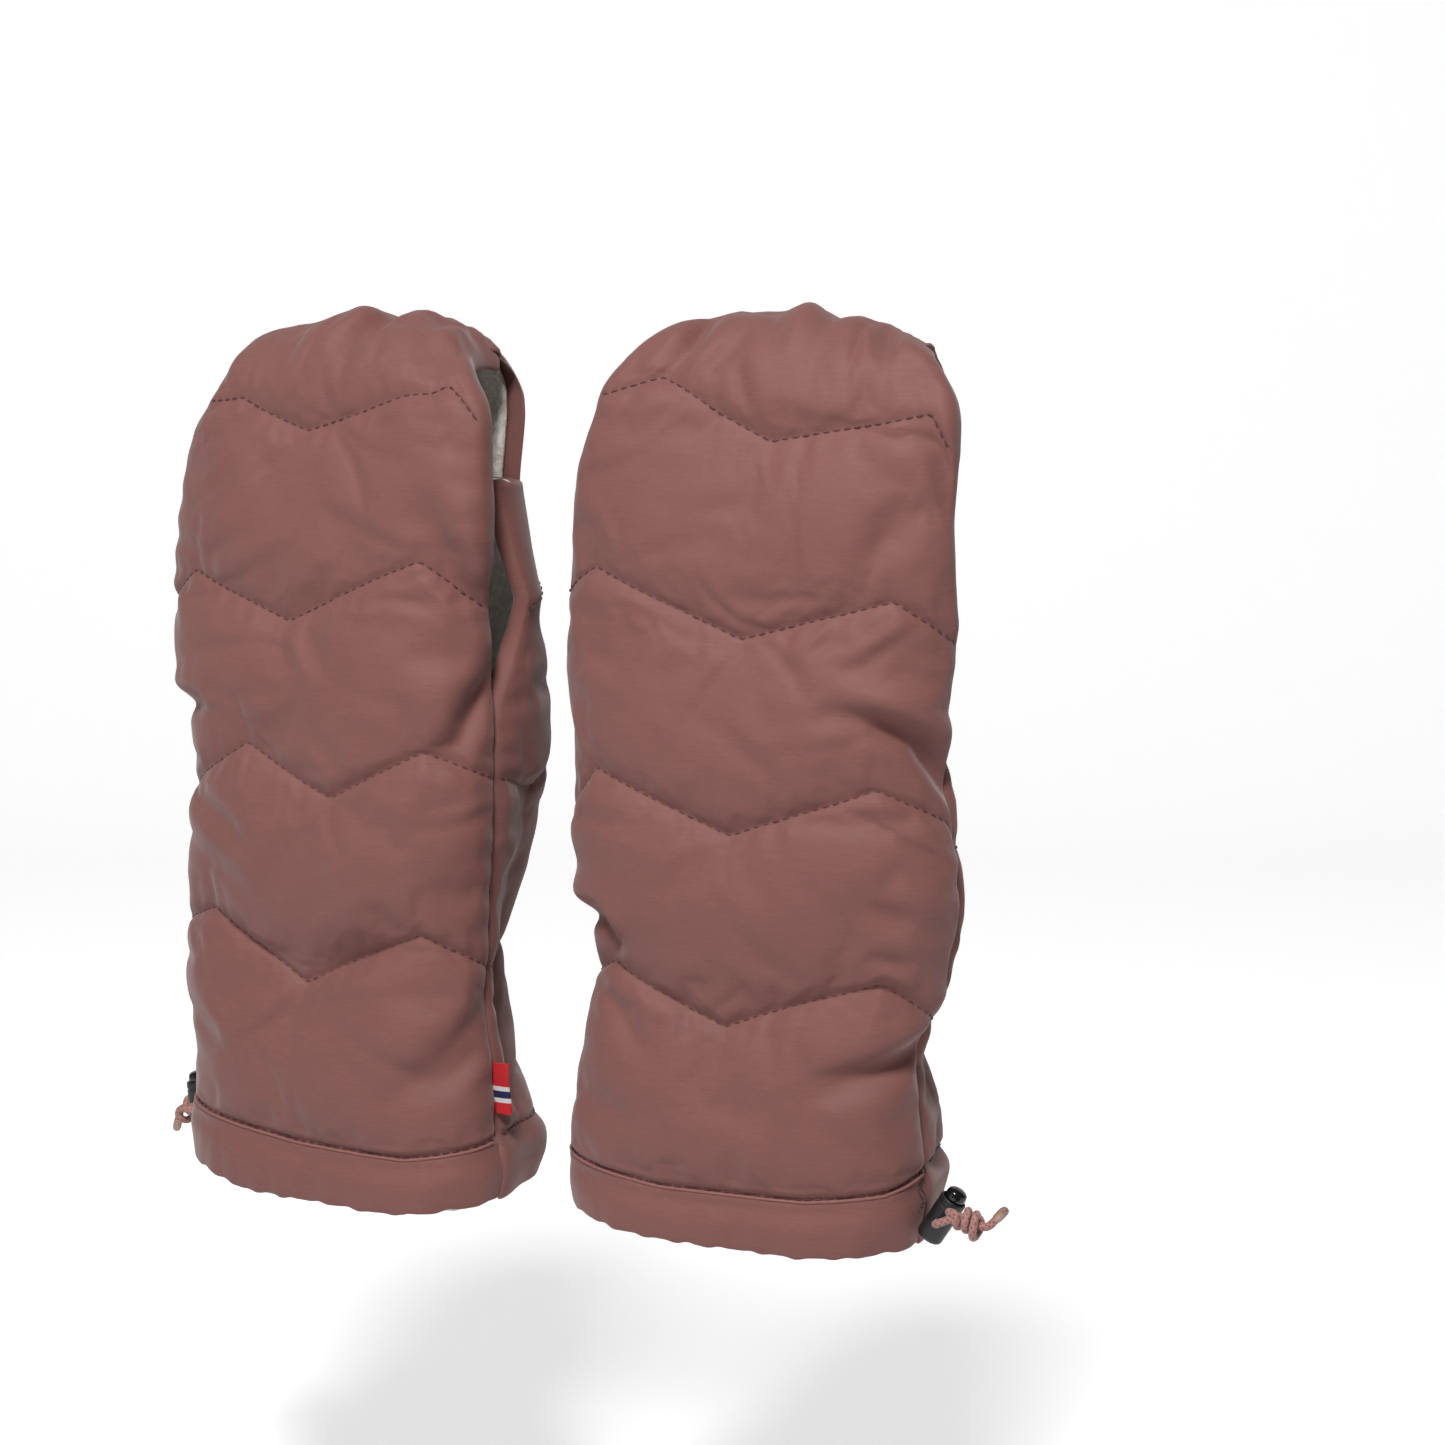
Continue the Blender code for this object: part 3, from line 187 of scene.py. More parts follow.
def bell(t):
    """1 at 0, and falling to both sides over a few widths."""
    return np.exp(-t ** 2)


def fade(t):
    """1 at 0, and fading out."""
    return np.exp(-t)


def unit(way):
    return way / (np.linalg.norm(way, axis=-1, keepdims=True) + TINY)


def travelled(points):
    """The way along a line of points, from 0."""
    return np.concatenate([[0], np.cumsum(np.linalg.norm(np.diff(points, axis=0), axis=1))])


def read(stations, drop):
    """A size at drops below the bar, eased between its stations."""
    drop = np.asarray(drop, float)
    out = np.full(drop.shape, stations[0][1])
    for (high, first), (low, second) in zip(stations, stations[1:]):
        out = np.where(drop > high, first + (second - first) * ease((drop - high) / (low - high)), out)
    return out


def crown(share, turn):
    """Across and fall of a unit curve whose tangent turns with the cube of its length."""
    share, turn = np.broadcast_arrays(np.asarray(share, float), np.asarray(turn, float))
    angle = turn[..., None] * (share[..., None] * LEG_X) ** 3
    return share * (np.cos(angle) @ LEG_W), share * (np.sin(angle) @ LEG_W)


def half_width(drop):
    """Half of the plain width at drops below the bar, without the seam's thickness."""
    return read(WIDTHS, drop) / 2 - FLAT_STACK


def front_turn(drop):
    return CREST_TURN + (math.pi / 2 - CREST_TURN) * ease(drop / SLOT_DROP)


def front_edge(drop):
    """Y of the front's side edge, which is the side seam."""
    across, fall = crown(np.ones_like(np.asarray(drop, float)), front_turn(drop))
    return half_width(drop) / across * fall - (read(FRONTS, drop) - PUFFED_STACK)


def place(share, length, turn, side_length, standoff, y, z, out_y, out_z):
    """Points on a panel, off its base surface by the standoff."""
    size = np.abs(share)
    inside = np.minimum(size, 1.0)
    across, fall = crown(inside, turn)
    angle = turn * inside ** 3
    beyond = np.maximum(size - 1.0, 0.0) * side_length
    across = across * length + beyond * np.cos(turn)
    fall = fall * length + beyond * np.sin(turn)
    rise = standoff * np.cos(angle) - fall
    x = np.sign(share) * (across + standoff * np.sin(angle))
    return np.stack([x, y + rise * out_y, z + rise * out_z], -1)


def front_parts(rise):
    """Half width and edge turn of the front at rises from the hem."""
    drop = HEM_DROP - np.asarray(rise, float)
    low = np.maximum(drop, 0.0)
    crest = ease(np.maximum(-drop, 0.0) / (QUARTER + CREST_FLAT))
    over = (BAR_WIDTH + (CREST_WIDTH - BAR_WIDTH) * crest) / 2 - FLAT_STACK
    half = np.where(drop >= 0, half_width(low), over)
    turn = np.where(drop >= 0, front_turn(low), CREST_TURN)
    return drop, low, half / crown(np.ones_like(turn), turn)[0], turn


def front_length(rise):
    """Arc from the front's middle to its side edge."""
    return front_parts(rise)[2]


def front_place(share, rise, standoff):
    """Points of the front, over the bar and down to the flap's seam."""
    share, rise, standoff = np.broadcast_arrays(*(np.asarray(v, float) for v in (share, rise, standoff)))
    drop, low, length, turn = front_parts(rise)
    run = np.maximum(-drop, 0.0)
    a1 = np.clip(run, 0, QUARTER) / BASE_RADIUS
    flat = np.clip(run - QUARTER, 0, CREST_FLAT)
    a2 = np.maximum(run - QUARTER - CREST_FLAT, 0) / CREST_TIP_RADIUS
    over = run > QUARTER
    hangs = drop >= 0
    tip_y, tip_z = flat + CREST_TIP_RADIUS * np.sin(a2), BASE_RADIUS - CREST_TIP_RADIUS * (1 - np.cos(a2))
    y = np.where(over, tip_y, -BASE_RADIUS * np.cos(a1))
    y = np.where(hangs, -(read(FRONTS, low) - PUFFED_STACK), y)
    z = np.where(hangs, -low, np.where(over, tip_z, BASE_RADIUS * np.sin(a1)))
    out_y = np.where(hangs, -1.0, np.where(over, np.sin(a2), -np.cos(a1)))
    out_z = np.where(hangs, 0.0, np.where(over, np.cos(a2), np.sin(a1)))
    return place(share, length, turn, 0.0, standoff, y, z, out_y, out_z)


def flap_line(run):
    """Centre path of the flap from the hinge seam: y, z and its downward angle."""
    run = np.asarray(run, float)
    steps = (np.arange(24) + 0.5) / 24
    angle = CREST_TIP_ANGLE + (math.pi / 2 - CREST_TIP_ANGLE) * ease(run[..., None] * steps / FLAP_BEND)
    start_y = CREST_FLAT + CREST_TIP_RADIUS * math.sin(CREST_TIP_ANGLE)
    start_z = BASE_RADIUS - CREST_TIP_RADIUS * (1 - math.cos(CREST_TIP_ANGLE))
    y = start_y + run / 24 * np.cos(angle).sum(-1)
    z = start_z - run / 24 * np.sin(angle).sum(-1)
    return y, z, CREST_TIP_ANGLE + (math.pi / 2 - CREST_TIP_ANGLE) * ease(run / FLAP_BEND)


def flap_parts(run):
    turn = CREST_TURN + (FLAP_END_TURN - CREST_TURN) * ease(run / FLAP_BEND)
    half = (CREST_WIDTH + (FLAP_WIDTH - CREST_WIDTH) * ease(run / FLAP_LENGTH)) / 2 - FLAT_STACK
    return half / crown(np.ones_like(turn), turn)[0], turn


def flap_place(share, run, standoff):
    """Points of the flap at shares across and runs down from its hinge seam."""
    share, run, standoff = np.broadcast_arrays(*(np.asarray(v, float) for v in (share, run, standoff)))
    y, z, angle = flap_line(run)
    length, turn = flap_parts(run)
    return place(share, length, turn, 0.0, standoff, y, z, np.sin(angle), np.cos(angle))


BACK_TOP_DEPTH = float(flap_line(FLAP_BEND)[0]) - FLAP_LINING - SEAM_GAP - SNAP_SPACE - FLAT_STACK
BACKS = [(FLAP_SEAT_DROP, BACK_TOP_DEPTH), (0.125, 0.0350), (0.190, 0.0285), (0.253, 0.0330),
         (0.270, 0.0330)]


def back_parts(rise):
    """Depth, crown length and side length of the back at rises from the hem."""
    drop = HEM_DROP - np.asarray(rise, float)
    depth = read(BACKS, drop)
    slot = SLOT_WIDTH * ease((SLOT_DROP - drop) / SLOT_TAPER)
    across, fall = crown(np.ones_like(drop), math.pi / 2)
    length = half_width(drop) / across
    side = np.maximum(depth - (front_edge(drop) + SEAM_GAP + slot) - length * fall, 0.0)
    return drop, depth, length, side


def back_place(share, rise, standoff):
    """Points of the back at shares across; from 1 to 2 they run forward to the side seam."""
    share, rise, standoff = np.broadcast_arrays(*(np.asarray(v, float) for v in (share, rise, standoff)))
    drop, depth, length, side = back_parts(rise)
    return place(share, length, math.pi / 2, side, standoff, depth, -drop, np.ones_like(drop),
                 np.zeros_like(drop))


def chevron(share, peak):
    size = np.minimum(np.abs(share), 1.0)
    return np.where(size <= peak, size / peak, 1 - SIDE_FALL * (size - peak) / (1 - peak))


def wobble(x, y, pitch, seed):
    """Smooth unevenness from -1 to 1, from a few seeded waves."""
    pick = np.random.default_rng(seed)
    total = np.zeros(np.broadcast(x, y).shape)
    for _ in range(7):
        way, phase = pick.uniform(0, 2 * math.pi), pick.uniform(0, 2 * math.pi)
        size = pick.uniform(0.7, 1.5)
        along = x * math.cos(way) + y * math.sin(way)
        total = total + np.sin(2 * math.pi / (pitch * size) * along + phase)
    return total / 3.2


def scattered_creases(x, y, count, seed):
    """Fine creases with a raised lip, laid at random over a panel; x and y in mm."""
    pick = np.random.default_rng(seed)
    total = np.zeros(np.broadcast(x, y).shape)
    for _ in range(count):
        middle = pick.uniform(-62, 62), pick.uniform(20, 325)
        way = math.radians(pick.choice([-1, 1]) * pick.uniform(8, 62))
        half, width, depth = pick.uniform(7, 20), pick.uniform(1.6, 3.4), pick.uniform(0.35, 1.0)
        bow = pick.uniform(-0.016, 0.016)
        along = (x - middle[0]) * math.cos(way) + (y - middle[1]) * math.sin(way)
        off = (y - middle[1]) * math.cos(way) - (x - middle[0]) * math.sin(way) - bow * along ** 2
        lip = 0.6 * bell((off - 2.1 * width) / (1.6 * width))
        total = total + depth * bell(along / half) * (lip - bell(off / width))
    return total


def to_line(x, y, points):
    """Distance to a polyline, the share of the way along it, and the height above its nearest point."""
    points = np.asarray(points, float)
    runs = np.hypot(*np.diff(points, axis=0).T)
    total, before = runs.sum(), 0.0
    best = np.full(x.shape, 1e9)
    along, above = np.zeros(x.shape), np.zeros(x.shape)
    for (x0, y0), (x1, y1), run in zip(points, points[1:], runs):
        part = np.clip(((x - x0) * (x1 - x0) + (y - y0) * (y1 - y0)) / run ** 2, 0, 1)
        away = np.hypot(x - x0 - part * (x1 - x0), y - y0 - part * (y1 - y0))
        along = np.where(away < best, (before + part * run) / total, along)
        above = np.where(away < best, y - y0 - part * (y1 - y0), above)
        best = np.minimum(best, away)
        before += run
    return best, along, above


RIGHT = Muff(
    "right", 1, 3.3, 2.2, lock=(0.0082, 30), knot=(0.0126, 0.0052), tail=40,
    lines=[
        [(-58.0, 84.0), (-43.7, 91.5), (-1.5, 75.2), (39.2, 94.0), (60.0, 79.3)],
        [(-65.0, 131.0), (-58.3, 141.4), (-46.9, 155.3), (-0.8, 138.1), (41.9, 156.1), (62.6, 145.5),
         (65.6, 135.7)],
        [(-63.7, 208.4), (-46.9, 219.8), (-0.8, 200.2), (43.0, 214.9), (64.2, 201.0)],
        [(-51.9, 274.6), (-33.7, 280.3), (4.2, 262.3), (48.6, 272.9), (57.6, 256.0)],
    ],
    hem=[(-58.6, 25.3), (-20, 21.6), (26.8, 22.8), (50, 26.2), (64.5, 31.8)],
    bottom=[(-60, 6.5), (-45, 5.5), (-26.3, 4.1), (27.1, 4.1), (57.5, 6.5)],
    edges=[(-30, 1, -1), (-16, 5, -1), (-8, 7, 0.6), (0, 7.3, 1.1), (8, 7.3, 3.5), (18, 6.4, 5.8),
           (30, 5, 5.8), (45, 4.6, 4.9), (60, 4.1, 5.6), (75, 2.4, 4.6), (90, -0.6, 3.5), (105, 0.3, 2.9),
           (120, 4.8, 1.6), (135, 7.7, 3), (150, 10, 0.6), (165, 10.8, -1), (180, 10.2, -2.5),
           (195, 5.1, -0.2), (205, 0.2, -0.9), (215, -0.3, -1.5), (225, -0.5, 0.1), (235, 1.9, 0.5),
           (245, 1.6, 2.4), (255, 1.1, -0.6), (270, 0, 0)],
    back_edges=[(-30, 0, 0), (8, -4, 0), (24, -9, 0), (205, -9, 0), (215, -7.3, 0), (225, -4.4, 0),
                (235, -1.6, 0), (245, 0.6, 0), (255, -1.4, 0), (270, 0, 0)],
    crest=[(-50, -1.6), (-44, -1.5), (-36, -1.3), (-32, -0.7), (-28, 0.9), (-24, 1.6), (-20, 1.7), (-12, 1.3),
           (-8, 1.8), (-4, 2.7), (0, 3.1), (8, 3.7), (12, 2.3), (16, 0.3), (24, 0.6), (28, -0.6), (32, 0.3),
           (36, 0.3), (40, -1.5), (44, -0.8), (50, 0.4)],
    peek=[(0.30, 0), (0.50, 1.6), (0.80, 2.4), (0.94, 0)],
    folds=[
        ([(47, 268), (54, 256), (57, 242)], -2.2, 3.5), ([(40, 262), (48, 250), (50, 240)], 1.0, 6),
        ([(44, 247), (38, 232), (32, 221)], -1.5, 7),
        ([(31, 179.5), (42, 177.5), (55, 171), (65, 154)], -3.6, 3.2),
        ([(38, 187), (54, 183), (66, 172)], 2.0, 7),
        ([(22, 144), (40, 146), (53, 147)], -1.0, 4), ([(36, 121), (46, 113)], -1.8, 4),
        ([(-64, 104), (-45, 106), (-40, 99.5)], -2.8, 3.5), ([(-60, 113), (-48, 113)], 1.2, 6),
        ([(33, 92), (39.5, 98.5), (47, 93)], 1.4, 3), ([(35, 104), (46, 100)], -1.0, 3),
        ([(-46, 81), (-36, 75), (-29, 67)], -1.7, 4), ([(70, 77), (59, 74), (46, 66), (29, 58)], -2.6, 5),
        ([(58, 62), (40, 53)], 1.4, 8), ([(-48, 47), (-37, 44), (-27, 41)], -1.4, 5),
        ([(-14, 60), (0, 52), (14, 50)], -0.9, 8), ([(-24.5, 306), (-27, 289), (-31, 282)], -3.0, 4),
        ([(32.7, 304), (34.5, 291), (35, 287)], -2.4, 3), ([(-5, 318), (-2, 300), (2, 290)], -1.2, 5),
        ([(12, 316), (14, 303), (17, 294)], -1.2, 4), ([(-56, 236), (-50, 228)], -0.8, 5),
    ],
)
LEFT = Muff(
    "left", -1, 5.9, -1.5, lock=(0.0085, 8), knot=(0.0145, -0.0061), tail=165,
    lines=[
        [(-58.0, 84.0), (-50.5, 90.7), (-35.6, 98.1), (0.8, 76.8), (40.2, 98.1), (60.9, 85.0)],
        [(-62.0, 136.0), (-46.7, 144.6), (-23.5, 157.7), (13.3, 142.2), (43.7, 160.2), (66.0, 150.4)],
        [(-62.0, 200.0), (-43.7, 214.9), (-6.5, 200.2), (39.6, 223.1), (63.1, 207.6)],
        [(-44.4, 272.9), (-37.4, 273.8), (-4.2, 263.9), (45.6, 281.1), (56.5, 266.0)],
    ],
    hem=[(-60, 28.0), (-40.7, 26.1), (0, 22.4), (36.5, 22.1), (65.2, 27.8)],
    bottom=[(-60, 6.5), (-37.5, 5.0), (-23.1, 2.0), (33.5, 2.5), (61.6, 6.5)],
    edges=[(-30, -4, 0), (-24, -5, 1), (-16, -7, 3), (-8, -8, 6), (0, -5, 7.3), (8, 0.1, 7.5), (18, 2.6, 7.4),
           (30, 2.3, 7.6), (45, 3.8, 5.3), (60, 5.9, 0.6), (75, 6.3, -0.6), (90, 2, 0.4), (105, -2, 2.6),
           (120, -3.5, 4), (135, -2.2, 3.7), (150, -0.8, 3.9), (165, 2.5, 4.8), (180, 8.4, 5.5),
           (195, 6.7, 5), (205, 4.1, 4.4), (215, 1.8, 4.4), (225, -1.8, 4.4), (235, -1.9, 5.2),
           (245, 0.7, 6.5), (255, -0.8, 7.5), (270, 0.4, 6)],
    back_edges=[(-30, 0, 0), (24, 0, 0), (45, 0, 2.9), (60, 0, 6.3), (75, 0, 2.6), (90, 0, 1.7),
                (105, 0, 1.5), (120, 0, 2.2), (135, 0, -4), (150, 0, -7.1), (165, 0, -8.2), (190, 0, -9),
                (225, 0, -8.6), (235, 0, -4.1), (245, 0, 4), (255, 0, 3.9), (262, 0, 1.9), (270, 0, 1)],
    crest=[(-50, -5.6), (-44, -4), (-40, -1.5), (-32, -1), (-28, -1.3), (-20, -1.6), (-16, -0.6), (-12, 1.6),
           (-8, 2.2), (-4, 3.2), (0, 3.2), (4, 2.6), (8, 0.6), (12, 1.9), (16, 2.5), (20, 1.9), (24, 2.6),
           (28, 1.8), (32, 1.6), (36, 0), (40, -3), (44, -5), (50, -3)],
    peek=[(0.30, 0), (0.48, 1.6), (0.85, 2.4), (0.97, 0)],
    folds=[
        ([(39, 238), (48, 224), (55.5, 214), (62, 208)], -2.6, 5), ([(33, 232), (40, 218)], 1.0, 8),
        ([(25, 203), (35, 206.5), (45, 203.5)], 1.2, 3), ([(65, 187), (57.5, 172), (52, 160)], -2.8, 4),
        ([(50, 190), (44, 174)], 1.6, 9), ([(-40, 167), (-14, 161), (7, 164), (18, 178)], -1.3, 8),
        ([(-66, 168), (-50, 168.5), (-41, 169)], -3.0, 3), ([(-60, 176), (-48, 177)], 1.2, 6),
        ([(-54, 123), (-30, 114), (-14, 106)], -1.0, 4), ([(-50, 138), (-30, 131), (-16, 124)], -0.8, 5),
        ([(34, 95.5), (40.5, 101), (47, 96)], 1.2, 3), ([(8, 84), (22, 90), (33, 93)], -1.2, 5),
        ([(62, 78), (49, 59), (37, 42)], -2.2, 6), ([(58, 60), (47, 47)], -1.4, 4),
        ([(44, 72), (34, 55)], 1.2, 8),
        ([(-44, 60), (-30, 52)], -1.0, 6), ([(12.5, 308), (11, 296), (6.5, 290)], -3.0, 4),
        ([(30, 312), (30, 300), (34, 292)], -1.6, 4), ([(-12, 314), (-12, 300)], -1.2, 5),
    ],
)
MUFFS = (RIGHT, LEFT)


# Camera
AZIMUTH, ELEVATION, DISTANCE = math.radians(23.3), math.radians(6.9), 0.986
AIM = np.array([0.056, 0.0, -0.104])
LOOK = np.array([-math.sin(AZIMUTH) * math.cos(ELEVATION), math.cos(AZIMUTH) * math.cos(ELEVATION),
                 -math.sin(ELEVATION)])
camera = bpy.data.objects.new("camera", bpy.data.cameras.new("camera"))
camera.data.lens, camera.data.sensor_width = 74.88, 36.0
camera.location = AIM - LOOK * DISTANCE
camera.rotation_euler = Vector(LOOK).to_track_quat("-Z", "Y").to_euler()
bpy.context.scene.collection.objects.link(camera)
bpy.context.scene.camera = camera


# Materials
class Nodes:
    """A Principled material and short ways to add nodes to it."""

    def __init__(self, name, **same):
        self.material = bpy.data.materials.new(name)
        self.material.use_nodes = True
        self.tree = self.material.node_tree
        self.shader = self.tree.nodes["Principled BSDF"]
        for socket, value in same.items():
            self.shader.inputs[socket.replace("_", " ")].default_value = value

    def add(self, kind, settings=None, **inputs):
        node = self.tree.nodes.new("ShaderNode" + kind)
        for key, value in (settings or {}).items():
            setattr(node, key, value)
        for key, value in inputs.items():
            socket = node.inputs[int(key[1:])] if key[0] == "i" and key[1:].isdigit() else node.inputs[key]
            if isinstance(value, bpy.types.NodeSocket):
                self.tree.links.new(value, socket)
            else:
                socket.default_value = value
        return node

    def math(self, operation, first, second=0.0, clamp=False):
        return self.add("Math", {"operation": operation, "use_clamp": clamp}, i0=first, i1=second).outputs[0]

    def part(self, source, share):
        return self.math("MULTIPLY", source, share)

    def mixed(self, first, share, second, rest):
        """Weighted sum of two values."""
        return self.math("ADD", self.part(first, share), self.part(second, rest))

    def rough(self, source, span, least):
        self.link("Roughness", self.math("ADD", self.part(source, span), least))

    def scaled(self, source, size):
        return self.add("Mapping", None, Vector=source, Scale=size).outputs[0]

    def noise(self, source, scale, detail, roughness):
        node = self.add("TexNoise", None, Vector=source, Scale=scale, Detail=detail, Roughness=roughness)
        return node.outputs["Fac"]

    def ramp(self, factor, stops, kind="LINEAR"):
        node = self.add("ValToRGB", None, Fac=factor)
        node.color_ramp.interpolation = kind
        while len(node.color_ramp.elements) < len(stops):
            node.color_ramp.elements.new(0.9)
        for element, (at, colour) in zip(node.color_ramp.elements, stops):
            element.position = at
            element.color = (*colour, 1.0)
        return node.outputs["Color"]

    def blend(self, factor, first, second, kind="MIX"):
        node = self.add("Mix", {"data_type": "RGBA", "blend_type": kind}, i0=factor)
        for index, value in ((6, first), (7, second)):
            if isinstance(value, bpy.types.NodeSocket):
                self.tree.links.new(value, node.inputs[index])
            else:
                node.inputs[index].default_value = (*value, 1.0)
        return node.outputs[2]

    def bump(self, height, strength, distance, normal=None):
        inputs = {"Strength": strength, "Distance": distance, "Height": height}
        if normal is not None:
            inputs["Normal"] = normal
        return self.add("Bump", None, **inputs).outputs[0]

    def link(self, socket, value):
        self.tree.links.new(value, self.shader.inputs[socket])

    def place_on_cloth(self):
        return self.add("UVMap", {"uv_map": "cloth"}).outputs[0]


def cloth_material(name, dark, light):
    """Fine plain-weave polyester with faint slubs across it, made a little paler where it stands out, as a
    painted highlight on its raised parts.
    """
    n = Nodes(name, Sheen_Weight=0.20, Sheen_Roughness=0.45, Specular_IOR_Level=0.30)
    on = n.place_on_cloth()
    slub = n.noise(n.scaled(on, (420.0, 2100.0, 1.0)), 1.0, 2.0, 0.6)
    long_slub = n.noise(n.scaled(on, (110.0, 1300.0, 1.0)), 1.0, 2.0, 0.6)
    warp = n.add("TexWave", {"wave_type": "BANDS", "bands_direction": "X"},
                 Vector=on, Scale=1000.0 / 0.9, Distortion=0.6, Detail=1.0).outputs["Fac"]
    weft = n.add("TexWave", {"wave_type": "BANDS", "bands_direction": "Y"},
                 Vector=on, Scale=1000.0 / 1.0, Distortion=0.6, Detail=1.0).outputs["Fac"]
    weave = n.math("MULTIPLY", warp, weft)
    patch = n.noise(n.scaled(on, (22.0, 30.0, 1.0)), 1.0, 3.0, 0.55)
    tone = n.mixed(slub, 0.55, long_slub, 0.45)
    tone = n.math("ADD", tone, n.part(n.math("SUBTRACT", patch, 0.5), 0.25))
    colour = n.ramp(tone, [(0.22, dark), (0.80, light)])
    # Painted highlight: raised parts of the cloth, found by pointiness, are blended towards a paler rose,
    # which stands in for light on the puffs.
    point = n.add("NewGeometry").outputs["Pointiness"]
    painted_ridge_light = n.math("MULTIPLY", n.math("SUBTRACT", point, 0.515), 6.0, True)
    colour = n.blend(n.part(painted_ridge_light, 0.25), colour, tuple(min(1.0, c * 1.35) for c in light))
    n.link("Base Color", colour)
    n.rough(slub, 0.16, 0.56)
    crush = n.noise(n.scaled(on, (160.0, 130.0, 1.0)), 1.0, 4.0, 0.55)
    coarse = n.bump(crush, 0.22, 0.0010)
    n.link("Normal", n.bump(n.mixed(weave, 0.6, slub, 0.6), 0.22, 0.00018, coarse))
    return n.material


def pile_material(name, dark, light):
    """Curly wool pile."""
    n = Nodes(name, Sheen_Weight=0.6, Sheen_Roughness=0.6, Specular_IOR_Level=0.2)
    where = n.add("TexCoord").outputs["Object"]
    curl = n.noise(where, 420.0, 4.0, 0.6)
    tuft = n.noise(where, 120.0, 3.0, 0.5)
    n.link("Base Color", n.ramp(n.mixed(curl, 0.6, tuft, 0.4), [(0.34, dark), (0.62, light)]))
    n.rough(curl, 0.1, 0.86)
    n.link("Normal", n.bump(curl, 0.7, 0.0010, n.bump(tuft, 0.8, 0.0020)))
    return n.material


def plastic_material(name, dark, light, roughness, grain):
    """Moulded plastic with a fine grain and a broad, uneven tone."""
    n = Nodes(name, Specular_IOR_Level=0.45)
    where = n.add("TexCoord").outputs["Object"]
    fine = n.noise(where, 3200.0, 2.0, 0.5)
    broad = n.noise(where, 260.0, 3.0, 0.6)
    n.link("Base Color", n.ramp(broad, [(0.35, dark), (0.70, light)]))
    n.rough(broad, 0.14, roughness - 0.07)
    n.link("Normal", n.bump(fine, grain, 0.00012))
    return n.material


def metal_material(name, dark, light):
    """Pressed metal, brushed by handling."""
    n = Nodes(name, Metallic=1.0)
    where = n.add("TexCoord").outputs["Object"]
    broad = n.noise(where, 500.0, 3.0, 0.6)
    fine = n.noise(where, 5200.0, 2.0, 0.5)
    n.link("Base Color", n.ramp(broad, [(0.3, dark), (0.7, light)]))
    n.rough(fine, 0.16, 0.22)
    n.link("Normal", n.bump(fine, 0.15, 0.00005))
    return n.material


def cord_material(name, dark, light):
    """Braided elastic: two families of strands that cross round the cord."""
    n = Nodes(name, Sheen_Weight=0.25, Sheen_Roughness=0.4, Specular_IOR_Level=0.35)
    on = n.place_on_cloth()
    parts = n.add("SeparateXYZ", None, Vector=on)
    around, along = parts.outputs[0], parts.outputs[1]
    turn = 2 * math.pi * 4 / (math.pi * CORD)
    run = 2 * math.pi / 0.0021
    one = n.math("SINE", n.mixed(around, turn, along, run))
    two = n.math("SINE", n.mixed(around, turn, along, -run))
    braid = n.math("MAXIMUM", one, two)
    fuzz = n.noise(n.scaled(on, (2600.0, 900.0, 1.0)), 1.0, 2.0, 0.6)
    n.link("Base Color", n.ramp(n.mixed(braid, 0.18, fuzz, 0.82), [(0.15, dark), (0.75, light)]))
    n.rough(fuzz, 0.2, 0.5)
    n.link("Normal", n.bump(n.math("ADD", braid, n.part(fuzz, 0.4)), 0.45, 0.00018))
    return n.material


def thread_material(name, dark, light):
    """Twisted sewing thread."""
    n = Nodes(name, Sheen_Weight=0.2, Sheen_Roughness=0.4)
    where = n.add("TexCoord").outputs["Object"]
    twist = n.noise(where, 2400.0, 2.0, 0.5)
    n.link("Base Color", n.ramp(twist, [(0.35, dark), (0.65, light)]))
    n.rough(twist, 0.2, 0.55)
    n.link("Normal", n.bump(twist, 0.4, 0.0001))
    return n.material


def tab_material(name):
    """Red woven tab with a white, navy and white band across its lower part."""
    n = Nodes(name, Sheen_Weight=0.2, Sheen_Roughness=0.4, Specular_IOR_Level=0.3)
    on = n.place_on_cloth()
    along = n.add("SeparateXYZ", None, Vector=on).outputs[1]
    red, white, navy = (0.56, 0.016, 0.022), (0.72, 0.70, 0.68), (0.012, 0.016, 0.075)
    stops = [(0.0, red), (0.22, white), (0.31, navy), (0.45, white), (0.54, red)]
    stripes = n.ramp(along, stops, "CONSTANT")
    grid = n.add("TexChecker", None, Vector=n.scaled(on, (26.0, 60.0, 1.0)), Scale=1.0).outputs["Fac"]
    thread = n.noise(n.scaled(on, (40.0, 140.0, 1.0)), 1.0, 2.0, 0.5)
    n.link("Base Color", n.blend(n.part(thread, 0.35), stripes, (0.10, 0.02, 0.03), "MULTIPLY"))
    n.rough(thread, 0.2, 0.6)
    n.link("Normal", n.bump(grid, 0.4, 0.0002))
    return n.material


ROSE_DARK, ROSE_LIGHT = (0.166, 0.064, 0.056), (0.222, 0.088, 0.077)
SHELL_CLOTH = cloth_material("rose_cloth", ROSE_DARK, ROSE_LIGHT)
# Painted highlight: the hem's folded edge uses the shell cloth painted a quarter lighter, a lit copy of it.
LIT_FOLD_CLOTH = cloth_material("rose_fold_lit", tuple(1.25 * c for c in ROSE_DARK),
                            tuple(1.25 * c for c in ROSE_LIGHT))
INNER_CLOTH = cloth_material("rose_casing", (0.19, 0.080, 0.072), (0.29, 0.130, 0.118))
PILE = pile_material("wool_pile", (0.56, 0.52, 0.45), (0.88, 0.85, 0.79))
BLACK_PLASTIC = plastic_material("matte_black", (0.005, 0.005, 0.006), (0.013, 0.013, 0.014), 0.50, 0.30)
GLOSSY_BLACK = plastic_material("glossy_black", (0.003, 0.003, 0.004), (0.008, 0.008, 0.009), 0.12, 0.03)
METAL = metal_material("stud_metal", (0.42, 0.40, 0.38), (0.66, 0.64, 0.60))
